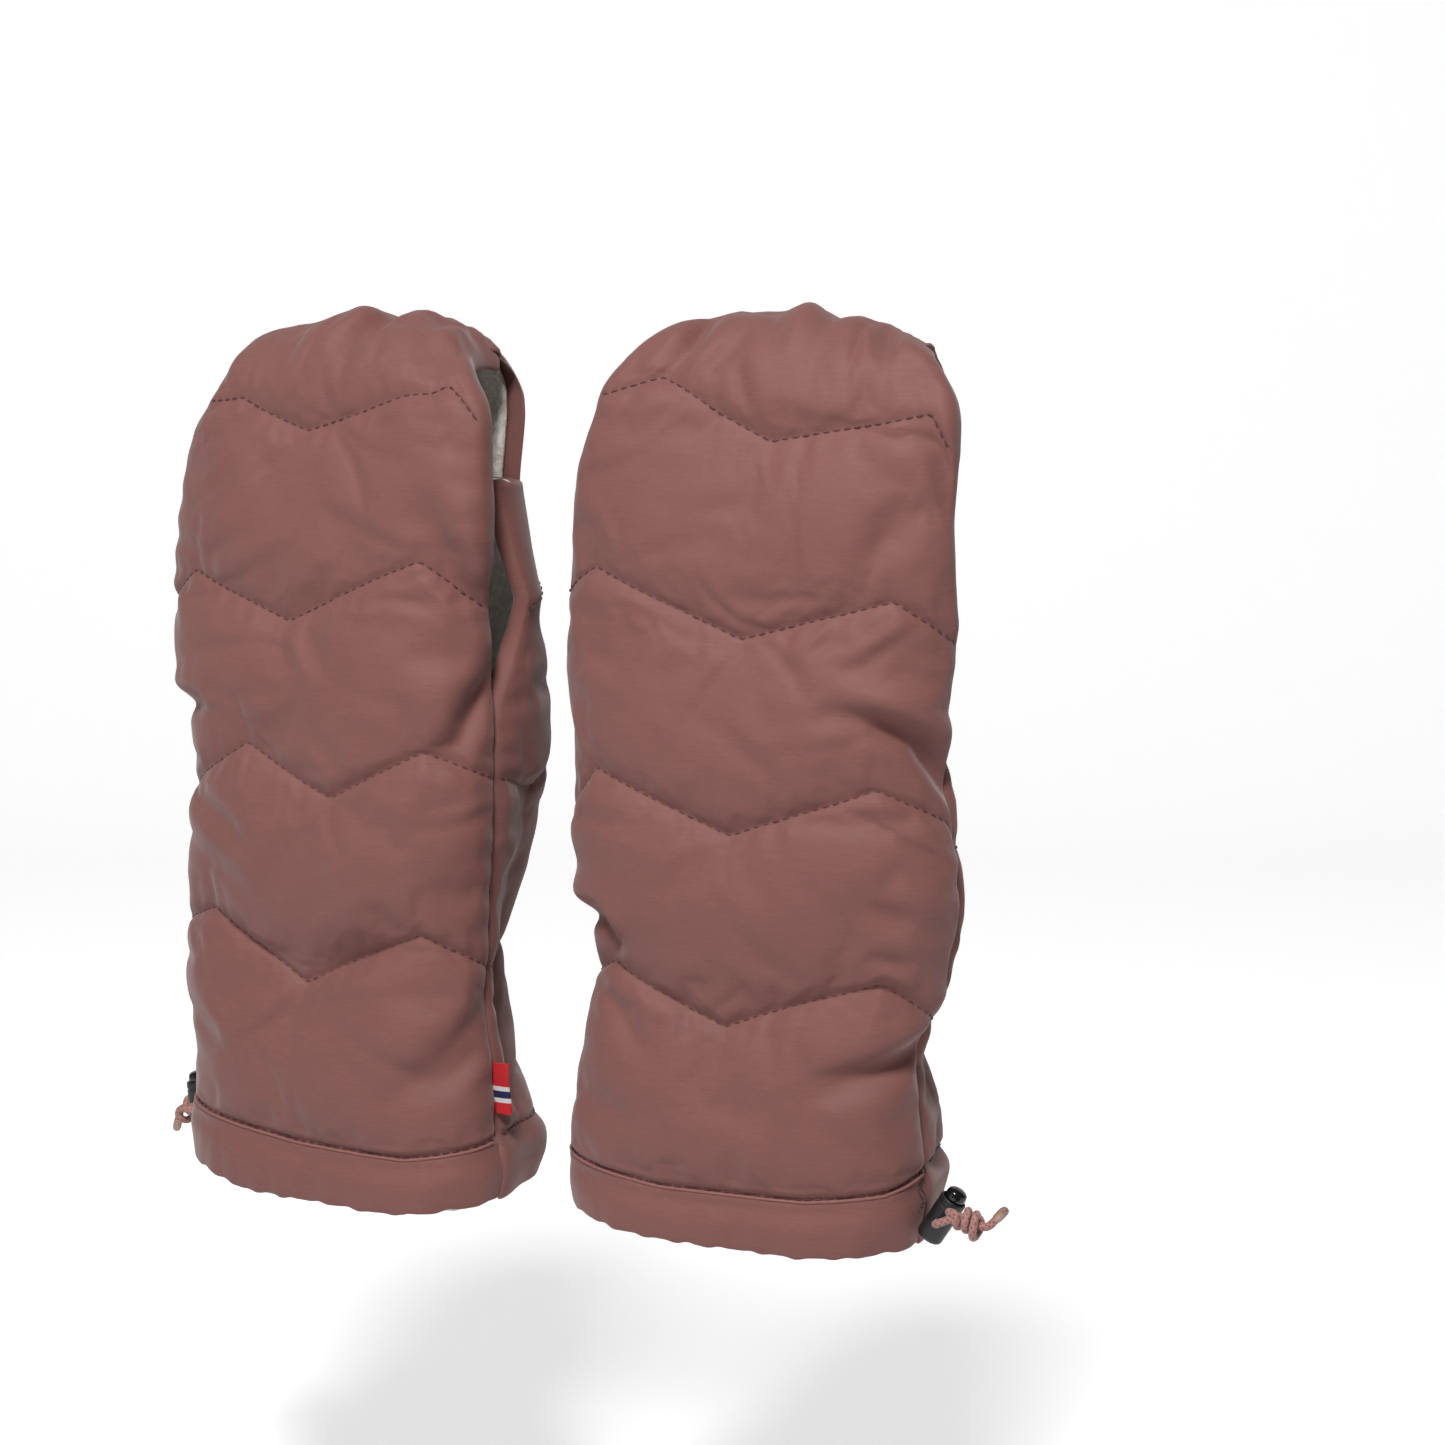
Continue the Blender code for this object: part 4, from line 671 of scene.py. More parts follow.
BRAID = cord_material("braided_elastic", (0.16, 0.065, 0.060), (0.50, 0.245, 0.215))
THREAD = thread_material("maroon_thread", (0.050, 0.013, 0.014), (0.11, 0.032, 0.032))
TAB = tab_material("striped_tab")
TIP = plastic_material("sealed_tip", (0.30, 0.15, 0.11), (0.52, 0.31, 0.24), 0.16, 0.05)
TIP.node_tree.nodes["Principled BSDF"].inputs["Transmission Weight"].default_value = 0.35
TIP.node_tree.nodes["Principled BSDF"].inputs["Coat Weight"].default_value = 0.6


# Meshes
def add_mesh(name, points, faces, material, uv=None):
    """A named mesh whose faces all look outwards."""
    mesh = bpy.data.meshes.new(name)
    points = [tuple(p) for p in np.asarray(points, float).reshape(-1, 3)]
    mesh.from_pydata(points, [], [tuple(f) for f in faces])
    if uv is not None:
        layer = mesh.uv_layers.new(name="cloth")
        corners = np.zeros(len(mesh.loops), np.int32)
        mesh.loops.foreach_get("vertex_index", corners)
        layer.data.foreach_set("uv", np.asarray(uv, np.float32).reshape(-1, 2)[corners].ravel())
    edit = bmesh.new()
    edit.from_mesh(mesh)
    bmesh.ops.recalc_face_normals(edit, faces=edit.faces[:])
    edit.to_mesh(mesh)
    edit.free()
    mesh.materials.append(material)
    mesh.shade_smooth()
    obj = bpy.data.objects.new(name, mesh)
    bpy.context.scene.collection.objects.link(obj)
    return obj


def dress(obj, body, slot, *nodes):
    """Puts a piece on its body, in place of the solids that it shows; `slot` is not used."""
    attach(obj, body)
    if nodes:
        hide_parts(*nodes)


def grid_faces(rows, columns, start=0):
    index = start + np.arange(rows * columns).reshape(rows, columns)
    return np.stack([index[:-1, :-1], index[:-1, 1:], index[1:, 1:], index[1:, :-1]], -1).reshape(-1, 4)


def ring_faces(index):
    """Faces between rings of points."""
    after = np.roll(index, -1, 1)
    return np.stack([index[:-1], after[:-1], after[1:], index[1:]], -1).reshape(-1, 4).tolist()


def rim_order(rows, columns):
    """Indices round a grid's border."""
    index = np.arange(rows * columns).reshape(rows, columns)
    return np.concatenate([index[0, :-1], index[:-1, -1], index[-1, :0:-1], index[:0:-1, 0]])


def pad(name, outer, inner, uv, material, round_by):
    """A closed pad between two grids, with a rounded rim, and the number of its points in a grid."""
    rows, columns = outer.shape[:2]
    count = rows * columns
    top, bottom = outer.reshape(-1, 3), inner.reshape(-1, 3)
    rim = rim_order(rows, columns)
    middle = (top[rim] + bottom[rim]) / 2
    thick = np.linalg.norm(top[rim] - bottom[rim], axis=1, keepdims=True)
    neighbour = np.clip(np.stack(np.unravel_index(rim, (rows, columns)), -1), 1, [rows - 2, columns - 2])
    away = unit(top[rim] - outer[neighbour[:, 0], neighbour[:, 1]])
    middle = middle + away * thick * round_by
    points = np.concatenate([top, bottom, middle])
    faces = [tuple(f) for f in grid_faces(rows, columns)]
    faces += [tuple(f[::-1]) for f in grid_faces(rows, columns, count)]
    ring = 2 * count + np.arange(len(rim))
    for k in range(len(rim)):
        j = (k + 1) % len(rim)
        faces.append((rim[j], rim[k], ring[k], ring[j]))
        faces.append((ring[j], ring[k], count + rim[k], count + rim[j]))
    flat = uv.reshape(-1, 2)
    return add_mesh(name, points, faces, material, np.concatenate([flat, flat, flat[rim]])), count


def swell(obj, free):
    """Lets the cloth between the stitches fill and settle, and keeps each point within the cap."""
    mesh = obj.data
    count = len(mesh.vertices)
    rest = np.zeros(count * 3)
    mesh.vertices.foreach_get("co", rest)
    rest = rest.reshape(-1, 3)
    group = obj.vertex_groups.new(name="held")
    for weight in np.unique(np.round(1 - free, 2)):
        chosen = np.nonzero(np.round(1 - free, 2) == weight)[0]
        if weight > 0:
            group.add(chosen.tolist(), float(weight), "REPLACE")
    cloth = obj.modifiers.new("Cloth", "CLOTH")
    settings = cloth.settings
    settings.quality = 5
    settings.mass = 0.15
    settings.tension_stiffness = settings.compression_stiffness = 14
    settings.shear_stiffness = 6
    settings.bending_stiffness = 0.12
    settings.vertex_group_mass = group.name
    settings.pin_stiffness = 1.0
    settings.use_pressure = True
    settings.uniform_pressure_force = CLOTH_PRESSURE
    settings.shrink_min = -CLOTH_GROWTH
    settings.effector_weights.gravity = 0.0
    cloth.collision_settings.use_collision = False
    scene = bpy.context.scene
    scene.frame_start, scene.frame_end = 1, CLOTH_FRAMES
    cloth.point_cache.frame_start, cloth.point_cache.frame_end = 1, CLOTH_FRAMES
    for step in range(1, CLOTH_FRAMES + 1):
        scene.frame_set(step)
    evaluated = obj.evaluated_get(bpy.context.evaluated_depsgraph_get())
    moved = np.zeros(count * 3)
    evaluated.data.vertices.foreach_get("co", moved)
    shift = moved.reshape(-1, 3) - rest
    obj.modifiers.remove(cloth)
    scene.frame_set(1)
    size = np.linalg.norm(shift, axis=1, keepdims=True)
    shift *= np.minimum(1.0, CLOTH_CAP / np.maximum(size, 1e-9)) * free[:, None]
    mesh.vertices.foreach_set("co", (rest + shift).ravel())
    mesh.update()


def subdivide(obj):
    """Smooths a padded piece once."""
    modifier = obj.modifiers.new("Subdivision", "SUBSURF")
    modifier.levels = modifier.render_levels = 1


def round_ring(side, up, angle):
    """Unit circles at angles, one for each pair of ways."""
    return side[:, None] * np.cos(angle)[None, :, None] + up[:, None] * np.sin(angle)[None, :, None]


def tube(name, points, radius, material, around):
    """A closed round tube along points, with rounded ends."""
    points = np.asarray(points, float)
    radius = np.broadcast_to(np.asarray(radius, float), (len(points),))
    way = unit(np.gradient(points, axis=0))
    side = np.cross(way[0], [0.0, 0.0, 1.0] if abs(way[0][2]) < 0.9 else [1.0, 0.0, 0.0])
    sides = []
    for w in way:
        side = unit(side - w * (side @ w))
        sides.append(side)
    sides = np.array(sides)
    ups = np.cross(way, sides)
    angle = 2 * np.pi * np.arange(around) / around
    ring = round_ring(sides, ups, angle)
    body = points[:, None] + ring * radius[:, None, None]
    ends = []
    for k, sign in ((0, -1.0), (-1, 1.0)):
        ends.append([points[k] + ring[k] * radius[k] * s + sign * way[k] * radius[k] * c * 0.6
                     for s, c in ((0.85, 0.5), (0.45, 0.9))])
    layers = np.concatenate([[ends[0][1], ends[0][0]], body, [ends[1][0], ends[1][1]]])
    rows = len(layers)
    caps = np.array([points[0] - way[0] * radius[0] * 0.62, points[-1] + way[-1] * radius[-1] * 0.62])
    index = np.arange(rows * around).reshape(rows, around)
    after = np.roll(index, -1, 1)
    faces = ring_faces(index)
    low, high = rows * around, rows * around + 1
    faces += [(low, after[0, k], index[0, k]) for k in range(around)]
    faces += [(high, index[-1, k], after[-1, k]) for k in range(around)]
    travel = travelled(points)
    travel = np.concatenate([[0, 0], travel, [travel[-1]] * 2])
    uv = np.stack(np.broadcast_arrays((angle * radius.mean())[None, :], travel[:, None]), -1).reshape(-1, 2)
    uv = np.concatenate([uv, [[0, 0], [0, travel[-1]]]])
    return add_mesh(name, np.concatenate([layers.reshape(-1, 3), caps]), faces, material, uv)


def dashes(lines, offset, length, gap, radius):
    """Points and faces of stitches along lines of (point, outward normal)."""
    points, faces = [], []
    sides = 6
    for line, normals in lines:
        travel = travelled(line)
        start = gap
        while start + length < travel[-1]:
            at = np.linspace(start, start + length, 5)
            middle = np.stack([np.interp(at, travel, line[:, k]) for k in range(3)], -1)
            up = unit(np.stack([np.interp(at, travel, normals[:, k]) for k in range(3)], -1))
            side = np.cross(unit(middle[-1] - middle[0]), up)
            sag = np.array([-1.0, 0.2, 0.5, 0.2, -1.0])[:, None] * radius
            size = np.array([0.45, 0.95, 1.0, 0.95, 0.45])[:, None, None] * radius
            angle = 2 * np.pi * np.arange(sides) / sides
            ring = (middle + up * (offset + sag))[:, None] + round_ring(side, up, angle) * size
            base = sum(len(p) for p in points)
            index = base + np.arange(5 * sides).reshape(5, sides)
            faces += ring_faces(index) + [index[0][::-1].tolist(), index[-1].tolist()]
            points.append(ring.reshape(-1, 3))
            start += length + gap
    return np.concatenate(points), faces


def stitches(name, body, lines, length=STITCH, gap=STITCH_GAP, offset=THREAD_OFFSET):
    """Thread along lines, on a body."""
    points, faces = dashes(lines, offset, length, gap, THREAD_RADIUS)
    obj = add_mesh(name, points, faces, THREAD)
    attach(obj, body)


def turned(name, profile, matrix, material, sides=48):
    """A turned piece from (radius, height) pairs, which run down along its outside."""
    profile = np.asarray(profile, float)
    angle = 2 * np.pi * np.arange(sides) / sides
    points, rings = [], []
    for radius, height in profile:
        if radius < 1e-7:
            rings.append([len(points)] * sides)
            points.append((0.0, 0.0, height))
        else:
            rings.append(list(range(len(points), len(points) + sides)))
            points += [(radius * math.cos(a), radius * math.sin(a), height) for a in angle]
    faces = []
    for low, high in zip(rings, rings[1:]):
        for k in range(sides):
            j = (k + 1) % sides
            face = list(dict.fromkeys((low[k], low[j], high[j], high[k])))
            if len(face) > 2:
                faces.append(face)
    points = np.asarray(points) @ np.array(matrix)[:3, :3].T + np.array(matrix)[:3, 3]
    return add_mesh(name, points, faces, material)


def soft_edges(obj, angle=35):
    obj.data.set_sharp_from_angle(angle=math.radians(angle))


# Cords
def lock_place(muff):
    """Where the cord crosses the cord lock's axis, in the muff's frame."""
    seam_x = float(half_width(LOCK_CORD_DROP)) + HEM_STANDOFF + SHELL
    bore_y = float(front_edge(CORD_DROP)) + muff.way * (EXIT_BEND + LOCK_DIAMETER / 2)
    return np.array([seam_x + muff.lock_out, bore_y, -LOCK_CORD_DROP])


def lock_exit(muff):
    """Where the cord comes out of the lock."""
    return lock_place(muff) + [0, muff.way * (LOCK_DIAMETER / 2 + SEAM_GAP), 0]


def hem_path(muff):
    """The drawcord round the hem, out of the outer side seam and through the lock."""
    stand = SEAM_GAP + CHANNEL_SPACE / 2
    rise = HEM_DROP - CORD_DROP
    seam = float(front_edge(CORD_DROP))
    front = front_place(np.linspace(1, -1, 90), rise, stand)
    back = back_place(np.linspace(-1, 2, 120), rise, stand)
    front = front[(front[:, 0] < 0) | (front[:, 1] < seam - CHANNEL_MOUTH)]
    back = back[(back[:, 0] < 0) | (back[:, 1] > seam + CHANNEL_MOUTH)]
    points = [*front, *back]
    last = points[-1].copy()
    last[1] = seam + CHANNEL_MOUTH
    points.append(last)
    for out, behind in ((0.25, 0.55), (0.85, 0.12), (1.7, 0.0)):
        points.append(np.array([last[0] + EXIT_BEND * out, seam + EXIT_BEND * behind, last[2]]))
    bore = lock_place(muff)
    for short, away, fall in ((1.2, 0.0, 0.75), (0.45, 0.2, 1.0), (0.08, 0.65, 1.0), (0.0, 1.1, 1.0)):
        z = last[2] + (bore[2] - last[2]) * fall
        points.append(np.array([bore[0] - EXIT_BEND * short, seam + muff.way * EXIT_BEND * away, z]))
    points.append(lock_exit(muff))
    return np.array(points)


def rounded(points, step):
    """A smooth curve through points, resampled at an even step."""
    points = np.asarray(points, float)
    keep = np.concatenate([[True], np.linalg.norm(np.diff(points, axis=0), axis=1) > 1e-5])
    points = points[keep]
    padded = np.vstack([2 * points[0] - points[1], points, 2 * points[-1] - points[-2]])
    t = np.linspace(0, 1, 9)[:-1, None]
    parts = []
    for a, b, c, d in zip(padded, padded[1:], padded[2:], padded[3:]):
        square, cube = 2 * a - 5 * b + 4 * c - d, 3 * b - a - 3 * c + d
        parts.append(0.5 * (2 * b + (c - a) * t + square * t ** 2 + cube * t ** 3))
    fine = np.vstack(parts + [points[-1:]])
    travel = travelled(fine)
    at = np.linspace(0, travel[-1], max(2, int(round(travel[-1] / step)) + 1))
    return np.stack([np.interp(at, travel, fine[:, k]) for k in range(3)], -1)


def knot_path(muff):
    """A barrel knot's centre line, past its wraps, round them and out through their middle."""
    reach = KNOT_WRAPS * KNOT_PITCH / 2
    turn_in = reach - KNOT_BEND_SHARE * KNOT_BEND
    dip = math.atan2(KNOT_DIP, KNOT_REAR)
    rounds = [(-reach - KNOT_OVERHANG, math.hypot(KNOT_REAR, KNOT_DIP), math.pi + dip),
              (0.0, KNOT_REAR, math.pi), (turn_in, KNOT_REAR, math.pi)]
    for share in np.arange(0, 1, 1 / 16):
        along = reach + (1 - KNOT_BEND_SHARE) * KNOT_BEND * (1 - share)
        radius = KNOT_REAR + (KNOT_RADIUS - KNOT_REAR) * float(ease(share))
        rounds.append((along, radius, math.pi + KNOT_BEND / KNOT_REAR + KNOT_LEAD * share))
    first = math.pi + KNOT_BEND / KNOT_REAR + KNOT_LEAD
    rounds += [(reach - KNOT_PITCH * t, KNOT_RADIUS, first + 2 * math.pi * t)
               for t in np.arange(0, KNOT_WRAPS + 0.01, 1 / 20)]
    points = [(along, radius * math.cos(a), radius * math.sin(a)) for along, radius, a in rounds]
    radial = np.array([math.cos(rounds[-1][2]), math.sin(rounds[-1][2])])
    tangent = np.array([-radial[1], radial[0]])
    for a in np.linspace(0, math.pi / 2, 5)[1:]:
        along = -reach - KNOT_BEND * (1 - math.cos(a))
        points.append((along, *(radial * KNOT_RADIUS + tangent * KNOT_BEND * math.sin(a))))
    far = radial * KNOT_RADIUS + tangent * KNOT_BEND
    for a in np.linspace(0, math.pi, 9)[1:]:
        along = -reach - KNOT_BEND - np.linalg.norm(far) / 2 * math.sin(a)
        points.append((along, *(far * (1 + math.cos(a)) / 2)))
    run = 2 * reach + KNOT_BEND + KNOT_CORE_OVERHANG
    points += [(-reach - KNOT_BEND + run * t, 0.0, 0.0) for t in np.linspace(0, 1, 9)[1:]]
    along, depth, up = np.array(points).T
    return np.stack([along * math.cos(KNOT_ROLL) + up * math.sin(KNOT_ROLL), muff.way * depth,
                     up * math.cos(KNOT_ROLL) - along * math.sin(KNOT_ROLL)], -1)


def free_cord(muff):
    """The cord from the lock through its knot to its tail, and the tip's two ends."""
    exit_point = lock_exit(muff)
    centre = exit_point + [muff.knot_out, muff.way * KNOT_AWAY, muff.knot_rise]
    knot = knot_path(muff) + centre
    start = exit_point + [0, muff.way * 2 * SEAM_GAP, 0]
    stop_way = unit(knot[1] - knot[0])
    stop = knot[0] - stop_way * 2 * SEAM_GAP
    reach = np.linalg.norm(stop - start) * STUB_PULL
    t = np.linspace(0, 1, 13)[:, None]
    stub = (start * (1 - t) ** 3 + (start + [0, muff.way * reach, 0]) * (3 * t * (1 - t) ** 2)
            + (stop - stop_way * reach) * (3 * t ** 2 * (1 - t)) + stop * t ** 3)
    way = Vector(knot[-1] - knot[-4]).normalized()
    lean = Vector((math.sin(muff.tail_lean), 0.0, math.cos(muff.tail_lean)))
    turn = way.rotation_difference(lean)
    tail = [Vector(knot[-1]) + way * 2 * SEAM_GAP]
    steps, bent = 14, 8
    for step in range(steps):
        heading = Quaternion(turn.axis, turn.angle * min(1.0, step / bent)) @ way
        tail.append(tail[-1] + heading * (TAIL_LENGTH / steps))
    tail = np.array([list(p) for p in tail])
    tip_way = unit(tail[-1] - tail[-2])
    tip = [tail[-1] + tip_way * 2 * SEAM_GAP, tail[-1] + tip_way * (2 * SEAM_GAP + TIP_LENGTH)]
    return rounded(np.vstack([stub, knot, tail]), 0.0005), centre, tip


def cord_for(muff):
    """The free cord with its knot and sealed tip, and the drawcord in the hem."""
    name = muff.name
    path, centre, tip_ends = free_cord(muff)
    path, ends = muff.world(path), muff.world(np.array(tip_ends))
    at = np.linspace(-0.0006, TIP_LENGTH, 9)
    way = unit(ends[1] - ends[0])
    crimp = CORD / 2 + TIP_WALL * np.array([0.2, 0.9, 1.0, 0.85, 0.98, 1.0, 1.0, 0.7, 0.1])
    tip = tube(name + "_sealed_tip", ends[0] + at[:, None] * way, crimp, TIP, 24)
    dress(tip, name + "_cord_end", "tip", name + "_cord_tip")
    cord = tube(name + "_knotted_cord", path, CORD / 2, BRAID, 20)
    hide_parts(name + "_cord_stub", name + "_cord_knot", name + "_cord_tail")
    tuple(muff.world(centre + [-0.006, -muff.way * 0.004, 0.0]))
    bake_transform(cord)
    tuple(muff.world(lock_exit(muff)))
    inside = rounded(muff.world(hem_path(muff)), 0.0009)
    drawcord = tube(name + "_drawcord_braid", inside, CORD / 2, BRAID, 16)
    dress(drawcord, name + "_muff", "cord", name + "_drawcord")


for muff in MUFFS:
    cord_for(muff)


# Cord locks
def carved(obj, tool, matrix):
    """Cuts a tool's shape out of a piece, and sets the piece in its place."""
    cut = obj.modifiers.new("Cut", "BOOLEAN")
    cut.operation, cut.object = "DIFFERENCE", tool
    made = bpy.data.meshes.new_from_object(obj.evaluated_get(bpy.context.evaluated_depsgraph_get()))
    obj.modifiers.clear()
    obj.data = made
    made.transform(Matrix(matrix.tolist()))
    bpy.data.objects.remove(tool)
    soft_edges(obj)


def lock_for(muff):
    """The lock's barrel and its button, bored for the cord."""
    name = muff.name
    turn = muff.lock_lean
    lean = np.array([[math.cos(turn), 0, math.sin(turn)], [0, 1, 0], [-math.sin(turn), 0, math.cos(turn)]])
    matrix = np.eye(4)
    matrix[:3, :3] = muff.turn @ np.diag([muff.side, 1, 1]) @ lean
    matrix[:3, 3] = muff.world(lock_place(muff))
    bottom, out, bore = -LOCK_CORD_HEIGHT, LOCK_DIAMETER / 2, LOCK_BORE / 2
    top = bottom + LOCK_LENGTH
    rim, foot, ring = 0.0006, 0.0014, 0.00022
    profile = [(0, bottom + LOCK_FLOOR), (bore - 0.0003, bottom + LOCK_FLOOR),
               (bore, bottom + LOCK_FLOOR + 0.0003), (bore, top - 0.0005), (bore + 0.0002, top - 0.0001)]
    profile += [(out - rim + rim * math.sin(a), top - rim + rim * math.cos(a))
                for a in np.linspace(0.1, math.pi / 2, 6)]
    profile += [(out, top - 0.0022), (out - ring, top - 0.0024), (out - ring, top - 0.0029),
                (out, top - 0.0031)]
    profile += [(out, 0.0), (out, bottom + 0.0016)]
    profile += [(out - foot + foot * math.cos(a), bottom + foot - foot * math.sin(a))
                for a in np.linspace(0.15, math.pi / 2, 8)]
    profile += [(0, bottom)]
    barrel = turned(name + "_lock_barrel", profile, np.eye(4), BLACK_PLASTIC, 64)
    reach = 0.010
    hole = turned("hole", [(0, reach), (LOCK_HOLE / 2, reach), (LOCK_HOLE / 2, -reach), (0, -reach)],
                  np.array(Matrix.Rotation(math.pi / 2, 4, "X")), BLACK_PLASTIC, 40)
    carved(barrel, hole, matrix)
    dress(barrel, name + "_muff", "barrel", name + "_lock_body")
    radius = BUTTON_DIAMETER / 2
    high = top + BUTTON_RISE
    floor = -CORD / 2 - SEAM_GAP
    low, stem = floor - 0.0010, radius - 0.00012
    profile = [(radius * 0.96 * math.sin(a), high - radius * 0.5 * (1 - math.cos(a)))
               for a in np.linspace(0, math.pi / 2, 14)]
    profile += [(radius, high - radius * 0.62), (radius, top + 0.0004), (stem, top), (stem, low + 0.0004),
                (radius - 0.0005, low), (0, low)]
    button = turned(name + "_push_button", profile, np.eye(4), GLOSSY_BLACK, 64)
    ceiling, deep = CORD / 2 + SEAM_GAP + BUTTON_TRAVEL, 0.006
    half = LOCK_HOLE / 2
    corners = [(x, y, z) for x in (-half, half) for y in (-deep, deep) for z in (floor, ceiling)]
    slot = add_mesh("slot", corners, [(0, 1, 3, 2), (4, 6, 7, 5), (0, 4, 5, 1), (2, 3, 7, 6), (0, 2, 6, 4),
                                      (1, 5, 7, 3)], GLOSSY_BLACK)
    carved(button, slot, matrix)
    dress(button, name + "_button", "button", name + "_lock_button")


for muff in MUFFS:
    lock_for(muff)


# Quilted panels
def layout(lines, pitch):
    """Rises of a grid whose rows follow the lines, each row's band, and its share of the band."""
    rises, band, part = [], [], []
    for number, (low, high) in enumerate(zip(lines, lines[1:])):
        count = max(4, int(round(float(np.mean(high - low)) / pitch)))
        for k in range(count):
            t = k / count
            t -= 0.45 * math.sin(2 * math.pi * t) / (2 * math.pi)
            rises.append(low + (high - low) * t)
            band.append(number)
            part.append(t)
    rises.append(lines[-1])
    band.append(len(lines) - 2)
    part.append(1.0)
    return np.array(rises), np.array(band), np.array(part)


def pillows(across, rise, lines, band, part, edge, stands, heights, seed):
    """Standoff of a quilted surface; `across`, `rise` and `edge` in mm."""
    low = np.array(stands)[band][:, None]
    high = np.array(stands)[band + 1][:, None]
    height = np.array(heights)[band][:, None]
    share = part[:, None]
    away = np.full(across.shape, 1e9)
    for line in lines[1:-1]:
        away = np.minimum(away, np.abs(rise - line * TO_MM) * 0.9)
    full = 0.52 * (1 - fade(away / 3.6)) + 0.48 * np.sin(math.pi * share) ** 0.8
    width = across.max()
    sides = 1 - 0.75 * np.clip(1 - edge / width, 0, 1) ** 5
    stand = low + (high - low) * share + height * full * sides
    stand += (0.55 * wobble(across, rise, 40, seed) + 0.22 * wobble(across, rise, 15, seed + 1)) * full
    pinch = wobble(np.zeros_like(rise), rise, 11, seed + 2)
    stand += 0.75 * pinch * fade(edge / 8) * (1 - fade(away / 3))
    gather = wobble(across, across * 0, 8.5, seed + 3)
    stand += 0.62 * gather * fade(away / 5) * (1 - fade(away / 1.2))
    creases = scattered_creases(across, rise, CREASES, seed + 4)
    stand += creases * (1 - fade(away / 2.5)) * ease(edge / 4)
    return stand


def add_folds(stand, across, rise, folds):
    """Creases, whose upper side hangs over a little, and soft ridges where the depth is positive."""
    for points, depth, width in folds:
        away, along, above = to_line(across, rise, points)
        taper = np.sin(math.pi * np.clip(0.06 + 0.88 * along, 0, 1)) ** 0.6
        if depth < 0:
            ledge = np.copysign(away, above) - 2.0 * width
            stand += 1.3 * depth * taper * (1.35 * bell(away / width) - 0.55 * bell(ledge / (1.6 * width)))
        else:
            stand += depth * taper * bell(away / width)
    return stand


def open_zone(rises):
    """1 where the side edges are free, beside the bar, and 0 where the side seam closes them."""
    return ease((rises - (HEM_DROP - SLOT_DROP)) / OPEN_EASE)


def settled(stand, in_band, edge, rise, opening):
    """The outer standoff, thinner at the side edges, and the inner one, which leaves room for the casing."""
    stand = np.where(in_band, stand, stand * (1 - 0.55 * fade(edge / 2.2)))
    inner = np.where(rise < 18, 4.1 * (1 - ease((rise - 12.5) / 3.5)), 0.0)
    return np.maximum(stand, inner + 1.0), inner - FACING * opening


def loose(rises, lines, edge, in_band):
    """How free the cloth is to swell: 0 at stitches, seams and hem."""
    nearest = np.abs(rises[None] - np.array(lines)[:, None]).min(0) * TO_MM
    return np.where(in_band, 0.0, (1 - bell(nearest / 2.0)) * ease(edge / 5))


def line_rows(band, part, count):
    """The grid's rows that lie on the hem's stitches and on the chevrons."""
    return [int(np.nonzero((band == k) & (part == 0))[0][0]) for k in range(1, count + 1)]


def front_grid(muff):
    """The front's outer and inner surfaces in the muff's frame, its place on the cloth, how free it is to
    swell, and its rows with stitches.
    """
    share = np.linspace(-1, 1, FRONT_COLUMNS)
    share = share + 0.10 * np.sin(math.pi * share) / math.pi
    bottom, hem = muff.low_edge(share), muff.table(muff.hem, share)
    lines = [bottom, hem] + [muff.table(line, share) for line in muff.lines]
    lines.append(np.full(FRONT_COLUMNS, FRONT_LENGTH - 0.0002))
    rises, band, part = layout(lines, FRONT_ROW)
    length = front_length(rises)
    across = muff.side * share[None, :] * length * TO_MM
    rise = rises * TO_MM
    edge = (1 - np.abs(share[None, :])) * length * TO_MM
    stand = pillows(across, rise, lines, band, part, edge, [5.0, 3.6, 2.9, 3.1, 3.7, 3.9, 2.9],
                    [0.0, 5.4, 5.6, 4.6, 3.9, 3.6], 11 if muff.side > 0 else 23)
    in_band = band[:, None] == 0
    below = hem[None, :] * TO_MM - rise
    hem_stand = 3.7 + 1.0 * bell((below - 2.0) / 1.2) + 2.5 * ease((below - 1.5) / 10)
    hem_stand = hem_stand + 0.7 * np.sin(math.pi * part[:, None]) ** 0.7
    waves = wobble(across, rise * 0.4, 17, 5)
    hem_stand = hem_stand + 0.7 * waves * ease(below / 4) - 0.5 * fade(edge / 4)
    hem_stand = hem_stand + 0.35 * wobble(across, rise * 0.2, 7, 6) * ease((below - 6) / 8)
    fold = 0.55 * bell((below + 2.0) / 1.1)
    pucker = -0.8 * np.clip(wobble(across, rise * 0.15, 12, 9 + muff.side), 0, 1)
    pucker = pucker * fade(np.maximum(-below - 2, 0) / 6)
    stand = np.where(in_band, hem_stand, stand + fold + pucker * ease((-below - 2.5) / 2))
    stand = add_folds(stand, across, rise, muff.folds)
    opening = open_zone(rises) * ease((np.abs(share)[None, :] - 0.80) / 0.03)
    stand, inner = settled(stand, in_band, edge, rise, opening)
    outer = muff.shaped(front_place(share, rises, stand * MM))
    within = muff.shaped(front_place(share, rises, inner * MM))
    uv = np.stack([share[None, :] * length, rises], -1)
    return outer, within, uv, loose(rises, lines, edge, in_band), line_rows(band, part, 5)


def quilt_of(muff, which, outer, within, uv, free, pick):
    """A quilted panel with its thread."""
    outer, within = muff.world(outer), muff.world(within)
    quilt, count = pad(f"{muff.name}_{which}_quilt", outer, within, uv, SHELL_CLOTH, 0.35)
    every = np.zeros(len(quilt.data.vertices))
    every[:count] = free.ravel()
    swell(quilt, every)
    subdivide(quilt)
    dress(quilt, muff.name + "_muff", "shell", f"{muff.name}_{which}_shell", f"{muff.name}_{which}_wadding")
    quilting(muff, which, quilt, outer, pick)


